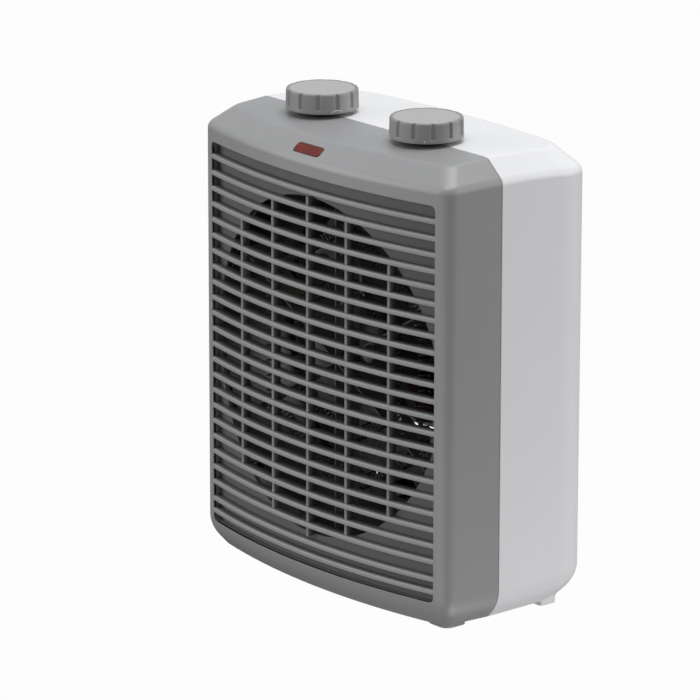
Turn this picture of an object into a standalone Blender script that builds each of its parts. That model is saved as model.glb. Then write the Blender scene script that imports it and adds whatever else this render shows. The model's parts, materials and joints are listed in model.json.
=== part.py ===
"""Upright fan heater: two-part plastic case, slatted outlet, wire element, axial fan and two knobs.

Metres, +Z up. The front faces -Y. The origin is on the ground, under the middle of the case.
"""

import math

import bmesh
import bpy
from mathutils import Matrix, Vector

# ---------------------------------------------------------------- driving dimensions
WIDTH = 0.220
FRONT_Y = -0.0675
REAR_Y = 0.0675
PARTING_Y = -0.0175
FOOT_HEIGHT = 0.003
TOP_Z = 0.2662
WALL = 0.0025
GAP = 0.0003

# Case outline: the plan is a straight side, a rounded corner and a shallow bow.
HALF_WIDTH = WIDTH / 2
BOW_RADIUS = 0.432
FRONT_CORNER_RADIUS = 0.009
REAR_CORNER_RADIUS = 0.033
FRONT_DRAFT = 0.070
REAR_DRAFT = 0.030
FRONT_TOP_SLOPE = 0.055
REAR_TOP_SLOPE = 0.060
TOP_CHAMFER_WIDTH = 0.0130
CREASE_Z = 0.2546
FRONT_CREASE_SLOPE = 0.0275
BOTTOM_CHAMFER_WIDTH = 0.0089
BOTTOM_CHAMFER_HEIGHT = 0.0110

# Outlet grille, moulded in the front cover.
GRILLE_HALF_WIDTH = 0.0986
GRILLE_BOTTOM = 0.0193
GRILLE_TOP = 0.2446
GRILLE_SEAT = 0.0003
SLAT_HEIGHT = 0.0029
SLAT_PITCH = 0.00918
SLAT_COUNT = 24
TOP_SLAT_BOTTOM = 0.2347
SLAT_DEPTH = 0.0074
RIB_PITCH = 0.0325
RIB_WIDTH = 0.0022
RIB_FRONT = 0.0020
RIB_BACK = 0.0070
BLANK_FRONT = 0.0057
BLANK_BACK = 0.0082
OUTLET_RADIUS = 0.0977
AXIS_Z = 0.1339
ON_AXIS = (0, 0, AXIS_Z)

# Controls on the top.
KNOB_X = 0.0457
KNOB_RADIUS = 0.0208
KNOB_BOTTOM = 0.2686
KNOB_TOP = 0.2800
KNOB_FLUTES = 12
SHAFT_RADIUS = 0.0030
BRACKET_Z = 0.2590
LENS_X = -0.0034
LENS_WIDTH = 0.0225
LENS_HEIGHT = 0.0065
LENS_PLACE = 0.45

# Air path.
SHROUD_INNER = 0.0990
SHROUD_OUTER = 0.1002
SHROUD_FRONT_Y = PARTING_Y - 0.0290
SHROUD_REAR_Y = PARTING_Y + 0.0240
ORIFICE_RADIUS = 0.0910
FAN_RADIUS = 0.0870
FAN_Y = PARTING_Y + 0.0110
FAN_BLADES = 5
ELEMENT_Y = PARTING_Y - 0.0190
MOTOR_Y = PARTING_Y + 0.0450

# Feet: inner and outer x of the right-hand one, and its front and rear y.
FRONT_FOOT = (0.0785, 0.0965, PARTING_Y - 0.0270, PARTING_Y - 0.0125)
REAR_FOOT = (0.0840, 0.0980, PARTING_Y + 0.0409, PARTING_Y + 0.0530)

# Rear wall: finger recess and air inlet.
HANDLE_HALF_WIDTH = 0.0500
HANDLE_LOW_Z = 0.2080
HANDLE_HIGH_Z = 0.2320
HANDLE_FLOOR_Y = 0.0475
INLET_ROWS = 12
INLET_FIRST_Z = 0.0600
INLET_ROW_PITCH = 0.0115
INLET_COLUMN_PITCH = 0.0480
INLET_SLOT_HALF_WIDTH = 0.0215
INLET_SLOT_HEIGHT = 0.0052

# Element: three crossed boards and two six-sided loops of coiled wire.
BOARD_DEPTH = 0.0170
BOARD_THICKNESS = 0.0010
COIL_REACHES = (("inner_coil", 0.0480), ("outer_coil", 0.0780))
COIL_RADIUS = 0.0038
COIL_SLOT_RADIUS = 0.0042

# Fan: hub profile, blade pitch and chord from root to tip.
SHAFT_END_Y = PARTING_Y + 0.0655
FAN_SHAFT_RADIUS = 0.0016
HUB_BORE_RADIUS = 0.0019
HUB_PROFILE = ((-0.0130, 0.0120), (-0.0105, 0.0195), (0.0090, 0.0210))
BLADE_ROOT = 0.0180
BLADE_ROOT_PITCH = 52
BLADE_TWIST = 26
BLADE_HALF_CHORD = 0.0115
BLADE_CHORD_GAIN = 0.0105
BLADE_HALF_THICKNESS = 0.0007

# Motor.
CORE_HALF_DEPTH = 0.0090
CORE_HALF_WIDTH = 0.0280
CORE_LOW = -0.0360
CORE_HIGH = 0.0200
ROTOR_RADIUS = 0.0120
ROTOR_BORE_RADIUS = 0.0126
MOTOR_BOLTS = ((-0.0235, AXIS_Z + 0.0100), (0.0235, AXIS_Z + 0.0100))
BUSH_RADIUS = 0.0043
STRAP_THICKNESS = 0.0015
STRAP_ENDS = ((-0.0952, AXIS_Z), (0.0952, AXIS_Z))

# Fixings.
CASE_SCREWS = ((-0.089, 0.030), (0.089, 0.030), (-0.086, 0.243), (0.086, 0.243))
SHROUD_SCREW_RADIUS = 0.1100
SCREW_WELL_FLOOR = 0.0060
SCREW_WELL_RADIUS = 0.0042
LUG_Y = SHROUD_FRONT_Y + 0.0090
LUG_OUTLINE = ((0.0996, -0.006), (0.0996, 0.006), (0.1150, 0.005), (0.1150, -0.005))
SHEET = 0.0012
BRACKET_SCREWS = ((-0.0680, PARTING_Y - 0.0095), (0.0680, PARTING_Y - 0.0095))
CORD_CENTRE = (-0.0620, 0.0240)
CLAMP_SCREWS = ((CORD_CENTRE[0] - 0.0125, 0.0400), (CORD_CENTRE[0] + 0.0125, 0.0400))
CLAMP_Z = 0.0275
SHAFT_HOLE_RADIUS = 0.0071
SCREW_HOLE_RADIUS = 0.0019

# Screws: head radius, head height and shank radius.
CASE_SCREW = (0.0034, 0.0024, 0.0014)
SHROUD_SCREW = (0.0033, 0.0022, 0.0012)
BRACKET_SCREW = (0.0026, 0.0018, 0.0011)
MOTOR_SCREW = (0.0032, 0.0021, 0.0015)
STRAP_SCREW = (0.0029, 0.0021, 0.0011)
CLAMP_SCREW = (0.0028, 0.0019, 0.0012)

ROUND = 12


# ---------------------------------------------------------------- scene and materials
def clear_scene():
    for old in list(bpy.data.objects):
        bpy.data.objects.remove(old, do_unlink=True)


def material(name, colour, roughness, metallic=0.0):
    made = bpy.data.materials.new(name)
    made.use_nodes = True
    shader = made.node_tree.nodes["Principled BSDF"]
    shader.inputs["Base Color"].default_value = (*colour, 1.0)
    shader.inputs["Roughness"].default_value = roughness
    shader.inputs["Metallic"].default_value = metallic
    made.diffuse_color = (*colour, 1.0)
    return made


PALETTE = {
    "grey_plastic": ((0.23, 0.235, 0.24), 0.55, 0.0),
    "white_plastic": ((0.72, 0.73, 0.75), 0.50, 0.0),
    "knob_plastic": ((0.27, 0.275, 0.28), 0.50, 0.0),
    "black_plastic": ((0.02, 0.02, 0.02), 0.55, 0.0),
    "red_lens": ((0.30, 0.04, 0.03), 0.25, 0.0),
    "clear_glass": ((0.75, 0.72, 0.68), 0.15, 0.0),
    "galvanised_steel": ((0.36, 0.36, 0.36), 0.40, 1.0),
    "zinc_steel": ((0.60, 0.60, 0.58), 0.35, 1.0),
    "mica": ((0.38, 0.34, 0.28), 0.60, 0.0),
    "nichrome": ((0.30, 0.27, 0.25), 0.45, 1.0),
    "core_steel": ((0.22, 0.22, 0.23), 0.50, 1.0),
    "copper": ((0.75, 0.33, 0.18), 0.35, 1.0),
    "brass": ((0.72, 0.56, 0.26), 0.35, 1.0),
    "nylon": ((0.80, 0.79, 0.74), 0.50, 0.0),
}


# ---------------------------------------------------------------- mesh helpers
def add_object(name, bm, slot, location=(0, 0, 0), smooth=False):
    """Makes the named object from a bmesh, with its own material."""
    bmesh.ops.recalc_face_normals(bm, faces=bm.faces)
    mesh = bpy.data.meshes.new(name)
    bm.to_mesh(mesh)
    bm.free()
    if smooth:
        mesh.shade_smooth()
        mesh.set_sharp_from_angle(angle=math.radians(35))
    made = bpy.data.objects.new(name, mesh)
    made.location = location
    mesh.materials.append(material(name, *PALETTE[slot]))
    bpy.context.scene.collection.objects.link(made)
    return made


def as_cutter(made):
    """Hides a helper, which only shapes other objects."""
    made.hide_render = True
    made.display_type = "WIRE"
    return made


def boolean(target, other, operation):
    step = target.modifiers.new(other.name, "BOOLEAN")
    step.operation = operation
    step.solver = "EXACT"
    step.object = other


def add_box(bm, low, high):
    """A box between two corners."""
    corners = [
        bm.verts.new((x, y, z))
        for x in (low[0], high[0])
        for y in (low[1], high[1])
        for z in (low[2], high[2])
    ]
    for ids in ((0, 1, 3, 2), (4, 6, 7, 5), (0, 4, 5, 1), (2, 3, 7, 6), (0, 2, 6, 4), (1, 5, 7, 3)):
        bm.faces.new([corners[i] for i in ids])


def add_rings(bm, rings):
    """Skins closed rings of points one after the other, and caps both ends."""
    made = [[bm.verts.new(point) for point in ring] for ring in rings]
    count = len(rings[0])
    for near, far in zip(made, made[1:]):
        for i in range(count):
            j = (i + 1) % count
            bm.faces.new((near[i], near[j], far[j], far[i]))
    bm.faces.new(made[0])
    bm.faces.new(made[-1])


def circle(radius, steps=ROUND, turn=0.0):
    """Points of a circle, as (a, b) pairs."""
    angles = [turn + 2 * math.pi * i / steps for i in range(steps)]
    return [(radius * math.cos(a), radius * math.sin(a)) for a in angles]


def along(axis, pairs, position, centre=(0.0, 0.0)):
    """Sets flat (a, b) pairs across an axis: X gives (Y, Z), Y gives (X, Z), Z gives (X, Y)."""
    ca, cb = centre
    if axis == "X":
        return [(position, ca + a, cb + b) for a, b in pairs]
    if axis == "Y":
        return [(ca + a, position, cb + b) for a, b in pairs]
    return [(ca + a, cb + b, position) for a, b in pairs]


def add_turned(bm, axis, profile, centre=(0.0, 0.0), steps=ROUND):
    """A solid turned about an axis, from (position, radius) pairs."""
    add_rings(bm, [along(axis, circle(radius, steps), position, centre) for position, radius in profile])


def add_tube(bm, axis, profile, centre=(0.0, 0.0), steps=ROUND):
    """A turned ring from a closed outline of (position, radius) pairs."""
    rings = [
        [bm.verts.new(point) for point in along(axis, circle(radius, steps), position, centre)]
        for position, radius in profile
    ]
    for near, far in zip(rings, rings[1:] + rings[:1]):
        for i in range(steps):
            j = (i + 1) % steps
            bm.faces.new((near[i], near[j], far[j], far[i]))


def turned(name, slot, axis, profile, centre=(0.0, 0.0), steps=ROUND, place=(0, 0, 0)):
    bm = bmesh.new()
    add_turned(bm, axis, profile, centre, steps)
    return add_object(name, bm, slot, place, smooth=True)


def tube(name, slot, axis, profile, centre=(0.0, 0.0), steps=ROUND, place=(0, 0, 0)):
    bm = bmesh.new()
    add_tube(bm, axis, profile, centre, steps)
    return add_object(name, bm, slot, place, smooth=True)


def sleeve(near, far, inner, outer):
    """Outline of a plain sleeve, as (position, radius) pairs."""
    return (near, inner), (near, outer), (far, outer), (far, inner)


def block(name, slot, low, high):
    bm = bmesh.new()
    add_box(bm, low, high)
    return add_object(name, bm, slot)


def screw(name, axis, form, seat, way, tip, place):
    """A screw along an axis. Its head sits at seat and points the way given, and its shank ends at tip."""
    head, height, shank = form
    profile = [(seat + way * height, head), (seat, head), (seat, shank), (tip, shank)]
    turned(name, "zinc_steel", axis, profile, place, 8)


def cutter(name, fill):
    """A hidden helper whose mesh is made by fill(bm)."""
    bm = bmesh.new()
    fill(bm)
    return as_cutter(add_object(name, bm, "black_plastic"))


def round_cutter(name, axis, radius, start, end, centres, steps=ROUND):
    """A hidden helper: one straight round bar at each centre."""

    def fill(bm):
        for centre in centres:
            add_turned(bm, axis, [(start, radius), (end, radius)], centre, steps)

    return cutter(name, fill)


# ---------------------------------------------------------------- case outline
def half_outline(way, inset, close_y, corner_steps, bow_steps):
    """Plan of half the case, from its right mating edge round to its left one.

    way is -1 for the front half and 1 for the rear half.
    """
    apex, corner, draft = (
        (FRONT_Y, FRONT_CORNER_RADIUS, FRONT_DRAFT) if way < 0 else (REAR_Y, REAR_CORNER_RADIUS, REAR_DRAFT)
    )
    lean = math.atan(draft)
    bow_centre = apex - way * BOW_RADIUS
    bow = BOW_RADIUS - inset
    side_at_parting = HALF_WIDTH - inset
    # Fillet centre: on the side line moved in by the corner radius, and on the bow moved in as much.
    start_x = side_at_parting - corner / math.cos(lean)
    a = 1 + draft**2
    b = -2 * draft * start_x + 2 * (PARTING_Y - bow_centre) * way
    c = start_x**2 + (PARTING_Y - bow_centre) ** 2 - (bow - corner) ** 2
    run = (-b + math.sqrt(b * b - 4 * a * c)) / (2 * a)
    centre = (start_x - draft * run, PARTING_Y + way * run)
    first = way * lean
    last = math.atan2(centre[1] - bow_centre, centre[0])
    points = [(side_at_parting - draft * way * (close_y - PARTING_Y), close_y)]
    for i in range(corner_steps + 1):
        angle = first + (last - first) * i / corner_steps
        points.append((centre[0] + corner * math.cos(angle), centre[1] + corner * math.sin(angle)))
    for i in range(1, bow_steps):
        angle = last + (way * math.pi - 2 * last) * i / bow_steps
        points.append((bow * math.cos(angle), bow_centre + bow * math.sin(angle)))
    right = points[: corner_steps + 2]
    return points + [(-x, y) for x, y in reversed(right)]


def add_half_case(bm, way, close_y, wall):
    """Skin of half the case, moved inwards by wall."""
    slope, crease_slope = REAR_TOP_SLOPE, REAR_TOP_SLOPE
    if way < 0:
        slope, crease_slope = FRONT_TOP_SLOPE, FRONT_CREASE_SLOPE
    corner_steps, bow_steps = (4, 8) if way < 0 else (6, 6)
    levels = (
        (FOOT_HEIGHT + wall, BOTTOM_CHAMFER_WIDTH + 0.5 * wall, 0.0),
        (FOOT_HEIGHT + BOTTOM_CHAMFER_HEIGHT + 0.3 * wall, wall, 0.0),
        (CREASE_Z - 0.4 * wall, wall, crease_slope),
        (TOP_Z - wall, TOP_CHAMFER_WIDTH + 0.4 * wall, slope),
    )
    rings = []
    for height, inset, fall in levels:
        plan = half_outline(way, inset, close_y, corner_steps, bow_steps)
        rings.append([(x, y, height - fall * abs(y - PARTING_Y)) for x, y in plan])
    add_rings(bm, rings)


def front_y(x, depth=0.0):
    """Y of the bowed front face at x, or of a surface that lies depth behind it."""
    return FRONT_Y + BOW_RADIUS - math.sqrt(BOW_RADIUS**2 - x * x) + depth


def add_bowed_bar(bm, half_width, low_z, high_z, front, back, inner):
    """A bar that follows the bow of the front face, between two depths behind it."""
    stations = [-half_width, *inner, half_width]
    corners = ((front, low_z), (back, low_z), (back, high_z), (front, high_z))
    add_rings(bm, [[(x, front_y(x, depth), z) for depth, z in corners] for x in stations])


WALL_STATIONS = (-0.0750, -0.0450, -0.0150, 0.0150, 0.0450, 0.0750)
SLAT_STATIONS = (-0.0600, -0.0200, 0.0200, 0.0600)


def slat_bottoms():
    """Heights of the slats' lower edges, from the top one down. The end spaces differ a little."""
    heights = [TOP_SLAT_BOTTOM, TOP_SLAT_BOTTOM - 0.0096]
    while len(heights) < SLAT_COUNT - 2:
        heights.append(heights[-1] - SLAT_PITCH)
    heights.append(heights[-1] - 0.0101)
    heights.append(heights[-1] - 0.0077)
    return heights


def add_feet(bm, foot):
    """A pair of feet, mirrored across the middle of the case."""
    inner, outer, front, back = foot
    for low_x, high_x in ((-outer, -inner), (inner, outer)):
        add_box(bm, (low_x, front, 0.0), (high_x, back, FOOT_HEIGHT + 0.0015))


# ---------------------------------------------------------------- front cover
def band_frame():
    """Centre of the lamp window on the slanted band above the grille, and the band's up and outward ways."""
    front = front_y(LENS_X)
    back = front + TOP_CHAMFER_WIDTH
    low = Vector((LENS_X, front, CREASE_Z - FRONT_CREASE_SLOPE * (PARTING_Y - front)))
    high = Vector((LENS_X, back, TOP_Z - FRONT_TOP_SLOPE * (PARTING_Y - back)))
    up = (high - low).normalized()
    return low.lerp(high, LENS_PLACE), up, Vector((0, -up.z, up.y))


def lens_outline(margin):
    """Rounded rectangle of the lamp window, grown by margin."""
    half_w = LENS_WIDTH / 2 + margin
    half_h = LENS_HEIGHT / 2 + margin
    radius = 0.0020
    points = []
    for cx, cy, start in ((1, 1, 0), (-1, 1, 90), (-1, -1, 180), (1, -1, 270)):
        for step in range(3):
            angle = math.radians(start + 45 * step)
            a = cx * (half_w - radius) + radius * math.cos(angle)
            b = cy * (half_h - radius) + radius * math.sin(angle)
            points.append((a, b))
    return points


def add_lens(bm, margin, inside, outside):
    """A prism of the window's outline, square to the slanted band."""
    centre, up, out = band_frame()
    across = Vector((1, 0, 0))
    rings = []
    for depth in (inside, outside):
        rings.append([centre + across * a + up * b + out * depth for a, b in lens_outline(margin)])
    add_rings(bm, rings)


def front_cover():
    """The grey front half: skin, recessed grille with its wall, slats and ribs, screw bosses and feet."""
    bm = bmesh.new()
    add_half_case(bm, -1, PARTING_Y - GAP / 2, 0.0)
    cover = add_object("front_cover", bm, "grey_plastic")
    hollow = cutter("front_hollow", lambda b: add_half_case(b, -1, PARTING_Y + 0.001, WALL))
    boolean(cover, hollow, "DIFFERENCE")

    def rim(b):
        side = 0.003
        low, high = GRILLE_BOTTOM - side, GRILLE_TOP + side
        add_bowed_bar(b, GRILLE_HALF_WIDTH + side, low, high, 0.001, BLANK_BACK, WALL_STATIONS)

    def recess(b):
        add_bowed_bar(b, GRILLE_HALF_WIDTH, GRILLE_BOTTOM, GRILLE_TOP, -0.003, BLANK_FRONT, WALL_STATIONS)

    def slats(b):
        reach = GRILLE_HALF_WIDTH + 0.0015
        for low in slat_bottoms():
            add_bowed_bar(b, reach, low, low + SLAT_HEIGHT, GRILLE_SEAT, SLAT_DEPTH, SLAT_STATIONS)

    def ribs(b):
        for i in range(-2, 3):
            x = RIB_PITCH * i
            reach = math.sqrt(OUTLET_RADIUS**2 - x * x) + 0.001
            low = (x - RIB_WIDTH / 2, front_y(x, RIB_FRONT), AXIS_Z - reach)
            high = (x + RIB_WIDTH / 2, front_y(x, RIB_BACK), AXIS_Z + reach)
            add_box(b, low, high)

    boolean(cover, cutter("grille_rim", rim), "UNION")
    boolean(cover, cutter("grille_recess", recess), "DIFFERENCE")
    front, back = FRONT_Y - 0.005, PARTING_Y - 0.02
    outlet = round_cutter("outlet_hole", "Y", OUTLET_RADIUS, front, back, [(0, AXIS_Z)], 36)
    boolean(cover, outlet, "DIFFERENCE")
    slat_bars = cutter("grille_slats", slats)
    boolean(slat_bars, cutter("grille_ribs", ribs), "UNION")
    boolean(cover, slat_bars, "UNION")

    def bosses(b):
        for x, z in CASE_SCREWS:
            start = front_y(x, BLANK_BACK - 0.001)
            add_turned(b, "Y", [(start, 0.0045), (PARTING_Y - GAP / 2, 0.0045)], (x, z))
        for x, z in shroud_screw_places():
            start = front_y(x, BLANK_BACK - 0.001)
            add_turned(b, "Y", [(start, 0.0040), (LUG_Y - GAP, 0.0040)], (x, z))
        for x, y in BRACKET_SCREWS:
            add_turned(b, "Z", [(BRACKET_Z + SHEET + GAP, 0.0036), (TOP_Z - 0.0020, 0.0036)], (x, y))

    boolean(cover, cutter("front_bosses", bosses), "UNION")
    pilot = round_cutter("front_pilots", "Y", 0.0018, PARTING_Y - 0.0130, PARTING_Y + 0.001, CASE_SCREWS, 8)
    boolean(cover, pilot, "DIFFERENCE")
    lugs = shroud_screw_places()
    pilot = round_cutter("shroud_pilots", "Y", 0.0016, LUG_Y - 0.0087, LUG_Y + 0.0010, lugs, 8)
    boolean(cover, pilot, "DIFFERENCE")
    low, high = BRACKET_Z - 0.001, TOP_Z - 0.0024
    pilot = round_cutter("bracket_pilots", "Z", 0.0014, low, high, BRACKET_SCREWS, 8)
    boolean(cover, pilot, "DIFFERENCE")
    boolean(cover, cutter("front_feet", lambda b: add_feet(b, FRONT_FOOT)), "UNION")
    boolean(cover, cutter("lens_hole", lambda b: add_lens(b, GAP, -0.012, 0.004)), "DIFFERENCE")
    boolean(cover, bpy.data.objects["shaft_holes"], "DIFFERENCE")


# ---------------------------------------------------------------- rear housing
def rear_housing():
    """The white rear half: skin, finger recess, inlet slots, screw wells, clamp posts and feet."""
    bm = bmesh.new()
    add_half_case(bm, 1, PARTING_Y + GAP / 2, 0.0)
    housing = add_object("rear_housing", bm, "white_plastic")
    hollow = cutter("rear_hollow", lambda b: add_half_case(b, 1, PARTING_Y - 0.001, WALL))
    boolean(housing, hollow, "DIFFERENCE")

    def handle_block(b):
        half = HANDLE_HALF_WIDTH + WALL
        low = (-half, HANDLE_FLOOR_Y - WALL, HANDLE_LOW_Z - WALL)
        add_box(b, low, (half, REAR_Y - 0.0015, HANDLE_HIGH_Z + WALL))

    def bosses(b):
        for x, z in CASE_SCREWS:
            add_turned(b, "Y", [(PARTING_Y + GAP / 2, 0.0060), (0.0535, 0.0060)], (x, z))
        for place in CLAMP_SCREWS:
            add_turned(b, "Z", [(FOOT_HEIGHT + 0.001, 0.0042), (CLAMP_Z - GAP, 0.0042)], place)

    boolean(housing, cutter("handle_block", handle_block), "UNION")
    boolean(housing, cutter("rear_bosses", bosses), "UNION")

    outside = REAR_Y + 0.005

    def handle_pocket(b):
        low = (-HANDLE_HALF_WIDTH, HANDLE_FLOOR_Y, HANDLE_LOW_Z)
        add_box(b, low, (HANDLE_HALF_WIDTH, outside, HANDLE_HIGH_Z))

    def inlet_slots(b):
        for column in (-1, 0, 1):
            x = INLET_COLUMN_PITCH * column
            for row in range(INLET_ROWS):
                z = INLET_FIRST_Z + INLET_ROW_PITCH * row
                low = (x - INLET_SLOT_HALF_WIDTH, 0.0500, z)
                add_box(b, low, (x + INLET_SLOT_HALF_WIDTH, outside, z + INLET_SLOT_HEIGHT))

    boolean(housing, cutter("handle_pocket", handle_pocket), "DIFFERENCE")
    boolean(housing, cutter("inlet_slots", inlet_slots), "DIFFERENCE")
    floor = PARTING_Y + SCREW_WELL_FLOOR
    wells = round_cutter("screw_wells", "Y", SCREW_WELL_RADIUS, floor, outside, CASE_SCREWS)
    boolean(housing, wells, "DIFFERENCE")
    start, end = PARTING_Y - 0.002, PARTING_Y + 0.008
    boolean(housing, round_cutter("shank_holes", "Y", 0.0021, start, end, CASE_SCREWS, 8), "DIFFERENCE")
    pilots = round_cutter("clamp_pilots", "Z", 0.0016, 0.0120, CLAMP_Z + 0.002, CLAMP_SCREWS, 8)
    boolean(housing, pilots, "DIFFERENCE")
    inlet = round_cutter("cord_hole", "Y", 0.0061, 0.0480, outside, [CORD_CENTRE], 16)
    boolean(housing, inlet, "DIFFERENCE")
    boolean(housing, cutter("rear_feet", lambda b: add_feet(b, REAR_FOOT)), "UNION")
    boolean(housing, bpy.data.objects["shaft_holes"], "DIFFERENCE")


# ---------------------------------------------------------------- controls
def fluted_ring(radius, depth, turn, steps_per_flute=3):
    """Plan of the knob: a circle with shallow round flutes."""
    points = []
    total = KNOB_FLUTES * steps_per_flute
    for i in range(total):
        in_flute = i % steps_per_flute == 0
        r = radius - (depth if in_flute else 0.0)
        angle = turn + 2 * math.pi * i / total
        points.append((r * math.cos(angle), r * math.sin(angle)))
    return points


def knob(name, x, turn):
    """A knob with a recessed top disc, a fluted wall and a plain skirt, bored for its shaft."""
    bm = bmesh.new()
    height = KNOB_TOP - KNOB_BOTTOM
    plain = circle(KNOB_RADIUS, KNOB_FLUTES * 3, turn)
    flutes = fluted_ring(KNOB_RADIUS - 0.0004, 0.0010, turn)
    rim = circle(KNOB_RADIUS - 0.0014, KNOB_FLUTES * 3, turn)
    disc = circle(KNOB_RADIUS - 0.0022, KNOB_FLUTES * 3, turn)
    rings = (
        along("Z", plain, 0.0),
        along("Z", plain, 0.0022),
        along("Z", flutes, 0.0030),
        along("Z", flutes, height - 0.0008),
        along("Z", rim, height),
        along("Z", disc, height - 0.0005),
    )
    add_rings(bm, rings)
    made = add_object(name, bm, "knob_plastic", (x, PARTING_Y, KNOB_BOTTOM))
    low, high = KNOB_BOTTOM - 0.002, KNOB_TOP - 0.0025
    bore = round_cutter(name + "_bore", "Z", SHAFT_RADIUS + GAP, low, high, [(x, PARTING_Y)])
    boolean(made, bore, "DIFFERENCE")
    return made


def shaft(name, x, low):
    """A plain control shaft, from inside its switch up into the knob."""
    bm = bmesh.new()
    high = KNOB_TOP - 0.0035
    add_turned(bm, "Z", [(low - KNOB_BOTTOM, SHAFT_RADIUS), (high - KNOB_BOTTOM, SHAFT_RADIUS)])
    return add_object(name, bm, "brass", (x, PARTING_Y, KNOB_BOTTOM), smooth=True)


def collar(name, x):
    """The black bezel that fills the gap between the knob and the case."""
    profile = (
        (TOP_Z - 0.0040, 0.0068),
        (TOP_Z + GAP, 0.0068),
        (TOP_Z + GAP, 0.0150),
        (TOP_Z + 0.0014, 0.0145),
        (TOP_Z + 0.0014, 0.0042),
        (TOP_Z - 0.0040, 0.0042),
    )
    return tube(name, "black_plastic", "Z", profile, (x, PARTING_Y), 16)


def controls():
    """Knobs, shafts and collars, and the bracket that carries the switch and the thermostat."""
    knob("selector_knob", KNOB_X, 0.0)
    knob("thermostat_knob", -KNOB_X, math.pi / KNOB_FLUTES)
    shaft("selector_shaft", KNOB_X, BRACKET_Z - 0.0120)
    shaft("thermostat_shaft", -KNOB_X, BRACKET_Z - 0.0120)
    collar("selector_collar", KNOB_X)
    collar("thermostat_collar", -KNOB_X)

    front, back = PARTING_Y - 0.0140, PARTING_Y + 0.0160
    low, high = (-0.0760, front, BRACKET_Z), (0.0760, back, BRACKET_Z + SHEET)
    bracket = block("control_bracket", "galvanised_steel", low, high)
    places = [(KNOB_X, PARTING_Y), (-KNOB_X, PARTING_Y)]
    holes = round_cutter("bracket_holes", "Z", 0.0042, BRACKET_Z - 0.002, BRACKET_Z + 0.004, places)
    boolean(bracket, holes, "DIFFERENCE")
    low, high = BRACKET_Z - 0.002, BRACKET_Z + 0.003
    holes = round_cutter("bracket_shanks", "Z", 0.0017, low, high, BRACKET_SCREWS, 8)
    boolean(bracket, holes, "DIFFERENCE")
    top = BRACKET_Z - GAP
    for side, place in zip(("left", "right"), BRACKET_SCREWS):
        screw(side + "_bracket_screw", "Z", BRACKET_SCREW, top, -1, BRACKET_Z + 0.0040, place)

    low, front, back = top - 0.0190, PARTING_Y - 0.0130, PARTING_Y + 0.0150
    near, far = (KNOB_X - 0.0150, front, low), (KNOB_X + 0.0150, back, top)
    switch = block("selector_switch", "black_plastic", near, far)
    low, front, back = top - 0.0160, PARTING_Y - 0.0110, PARTING_Y + 0.0120
    near, far = (-KNOB_X - 0.0130, front, low), (-KNOB_X + 0.0130, back, top)
    body = block("thermostat_body", "nylon", near, far)
    bores = round_cutter("switch_bores", "Z", SHAFT_RADIUS + 0.0004, top - 0.0145, top + 0.002, places)
    boolean(switch, bores, "DIFFERENCE")
    boolean(body, bores, "DIFFERENCE")
    near = (-KNOB_X - 0.0210, PARTING_Y - 0.0040, low - GAP - 0.0006)
    block("bimetal_blade", "brass", near, (-KNOB_X + 0.0120, PARTING_Y + 0.0040, low - GAP))


def indicator():
    """The lamp window and the neon lamp behind it."""
    bm = bmesh.new()
    add_lens(bm, 0.0, -0.0040, -0.0001)
    add_object("indicator_lens", bm, "red_lens")
    centre, _, out = band_frame()
    centre = centre - out * 0.0098
    bulb = [(LENS_X - 0.0080, 0.0012), (LENS_X - 0.0065, 0.0026), (LENS_X + 0.0080, 0.0026)]
    turned("neon_lamp", "clear_glass", "X", bulb, (centre.y, centre.z))


# ---------------------------------------------------------------- air path
def shroud_screw_places():
    """Where the shroud's four lugs are screwed to the front cover."""
    corner = SHROUD_SCREW_RADIUS / math.sqrt(2)
    return [(sx * corner, AXIS_Z + sz * corner) for sx in (-1, 1) for sz in (-1, 1)]


def fan_shroud():
    """The sheet-steel drum round element and fan, with an inward rear flange and four lugs."""
    profile = (
        (SHROUD_FRONT_Y, SHROUD_OUTER),
        (SHROUD_REAR_Y, SHROUD_OUTER),
        (SHROUD_REAR_Y, ORIFICE_RADIUS),
        (SHROUD_REAR_Y - SHEET, ORIFICE_RADIUS),
        (SHROUD_REAR_Y - SHEET, SHROUD_INNER),
        (SHROUD_FRONT_Y, SHROUD_INNER),
    )
    shroud = tube("fan_shroud", "galvanised_steel", "Y", profile, (0, AXIS_Z), 36)

    def lugs(b):
        for x, z in shroud_screw_places():
            away = Vector((x, 0, z - AXIS_Z)).normalized()
            side = Vector((-away.z, 0, away.x))
            rings = []
            for y in (LUG_Y, LUG_Y + SHEET):
                middle = Vector((0, y, AXIS_Z))
                rings.append([middle + away * out + side * across for out, across in LUG_OUTLINE])
            add_rings(b, rings)

    boolean(shroud, cutter("shroud_lugs", lugs), "UNION")
    holes = round_cutter("lug_holes", "Y", 0.0021, LUG_Y - 0.002, LUG_Y + 0.004, shroud_screw_places(), 8)
    boolean(shroud, holes, "DIFFERENCE")
    near, far = SHROUD_REAR_Y - 0.004, SHROUD_REAR_Y + 0.002
    holes = round_cutter("strap_pilots", "Y", 0.0014, near, far, STRAP_ENDS, 8)
    boolean(shroud, holes, "DIFFERENCE")


def star_outline(arms, reach, thickness):
    """A star of straight thin arms, as (a, b) pairs."""
    points = []
    half = thickness / 2
    root = half / math.tan(math.pi / arms)
    for i in range(arms):
        angle = 2 * math.pi * i / arms + math.pi / 2
        for out, across in ((root, half), (reach, half), (reach, -half)):
            c, s = math.cos(angle), math.sin(angle)
            points.append((out * c + across * s, out * s - across * c))
    return points


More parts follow.
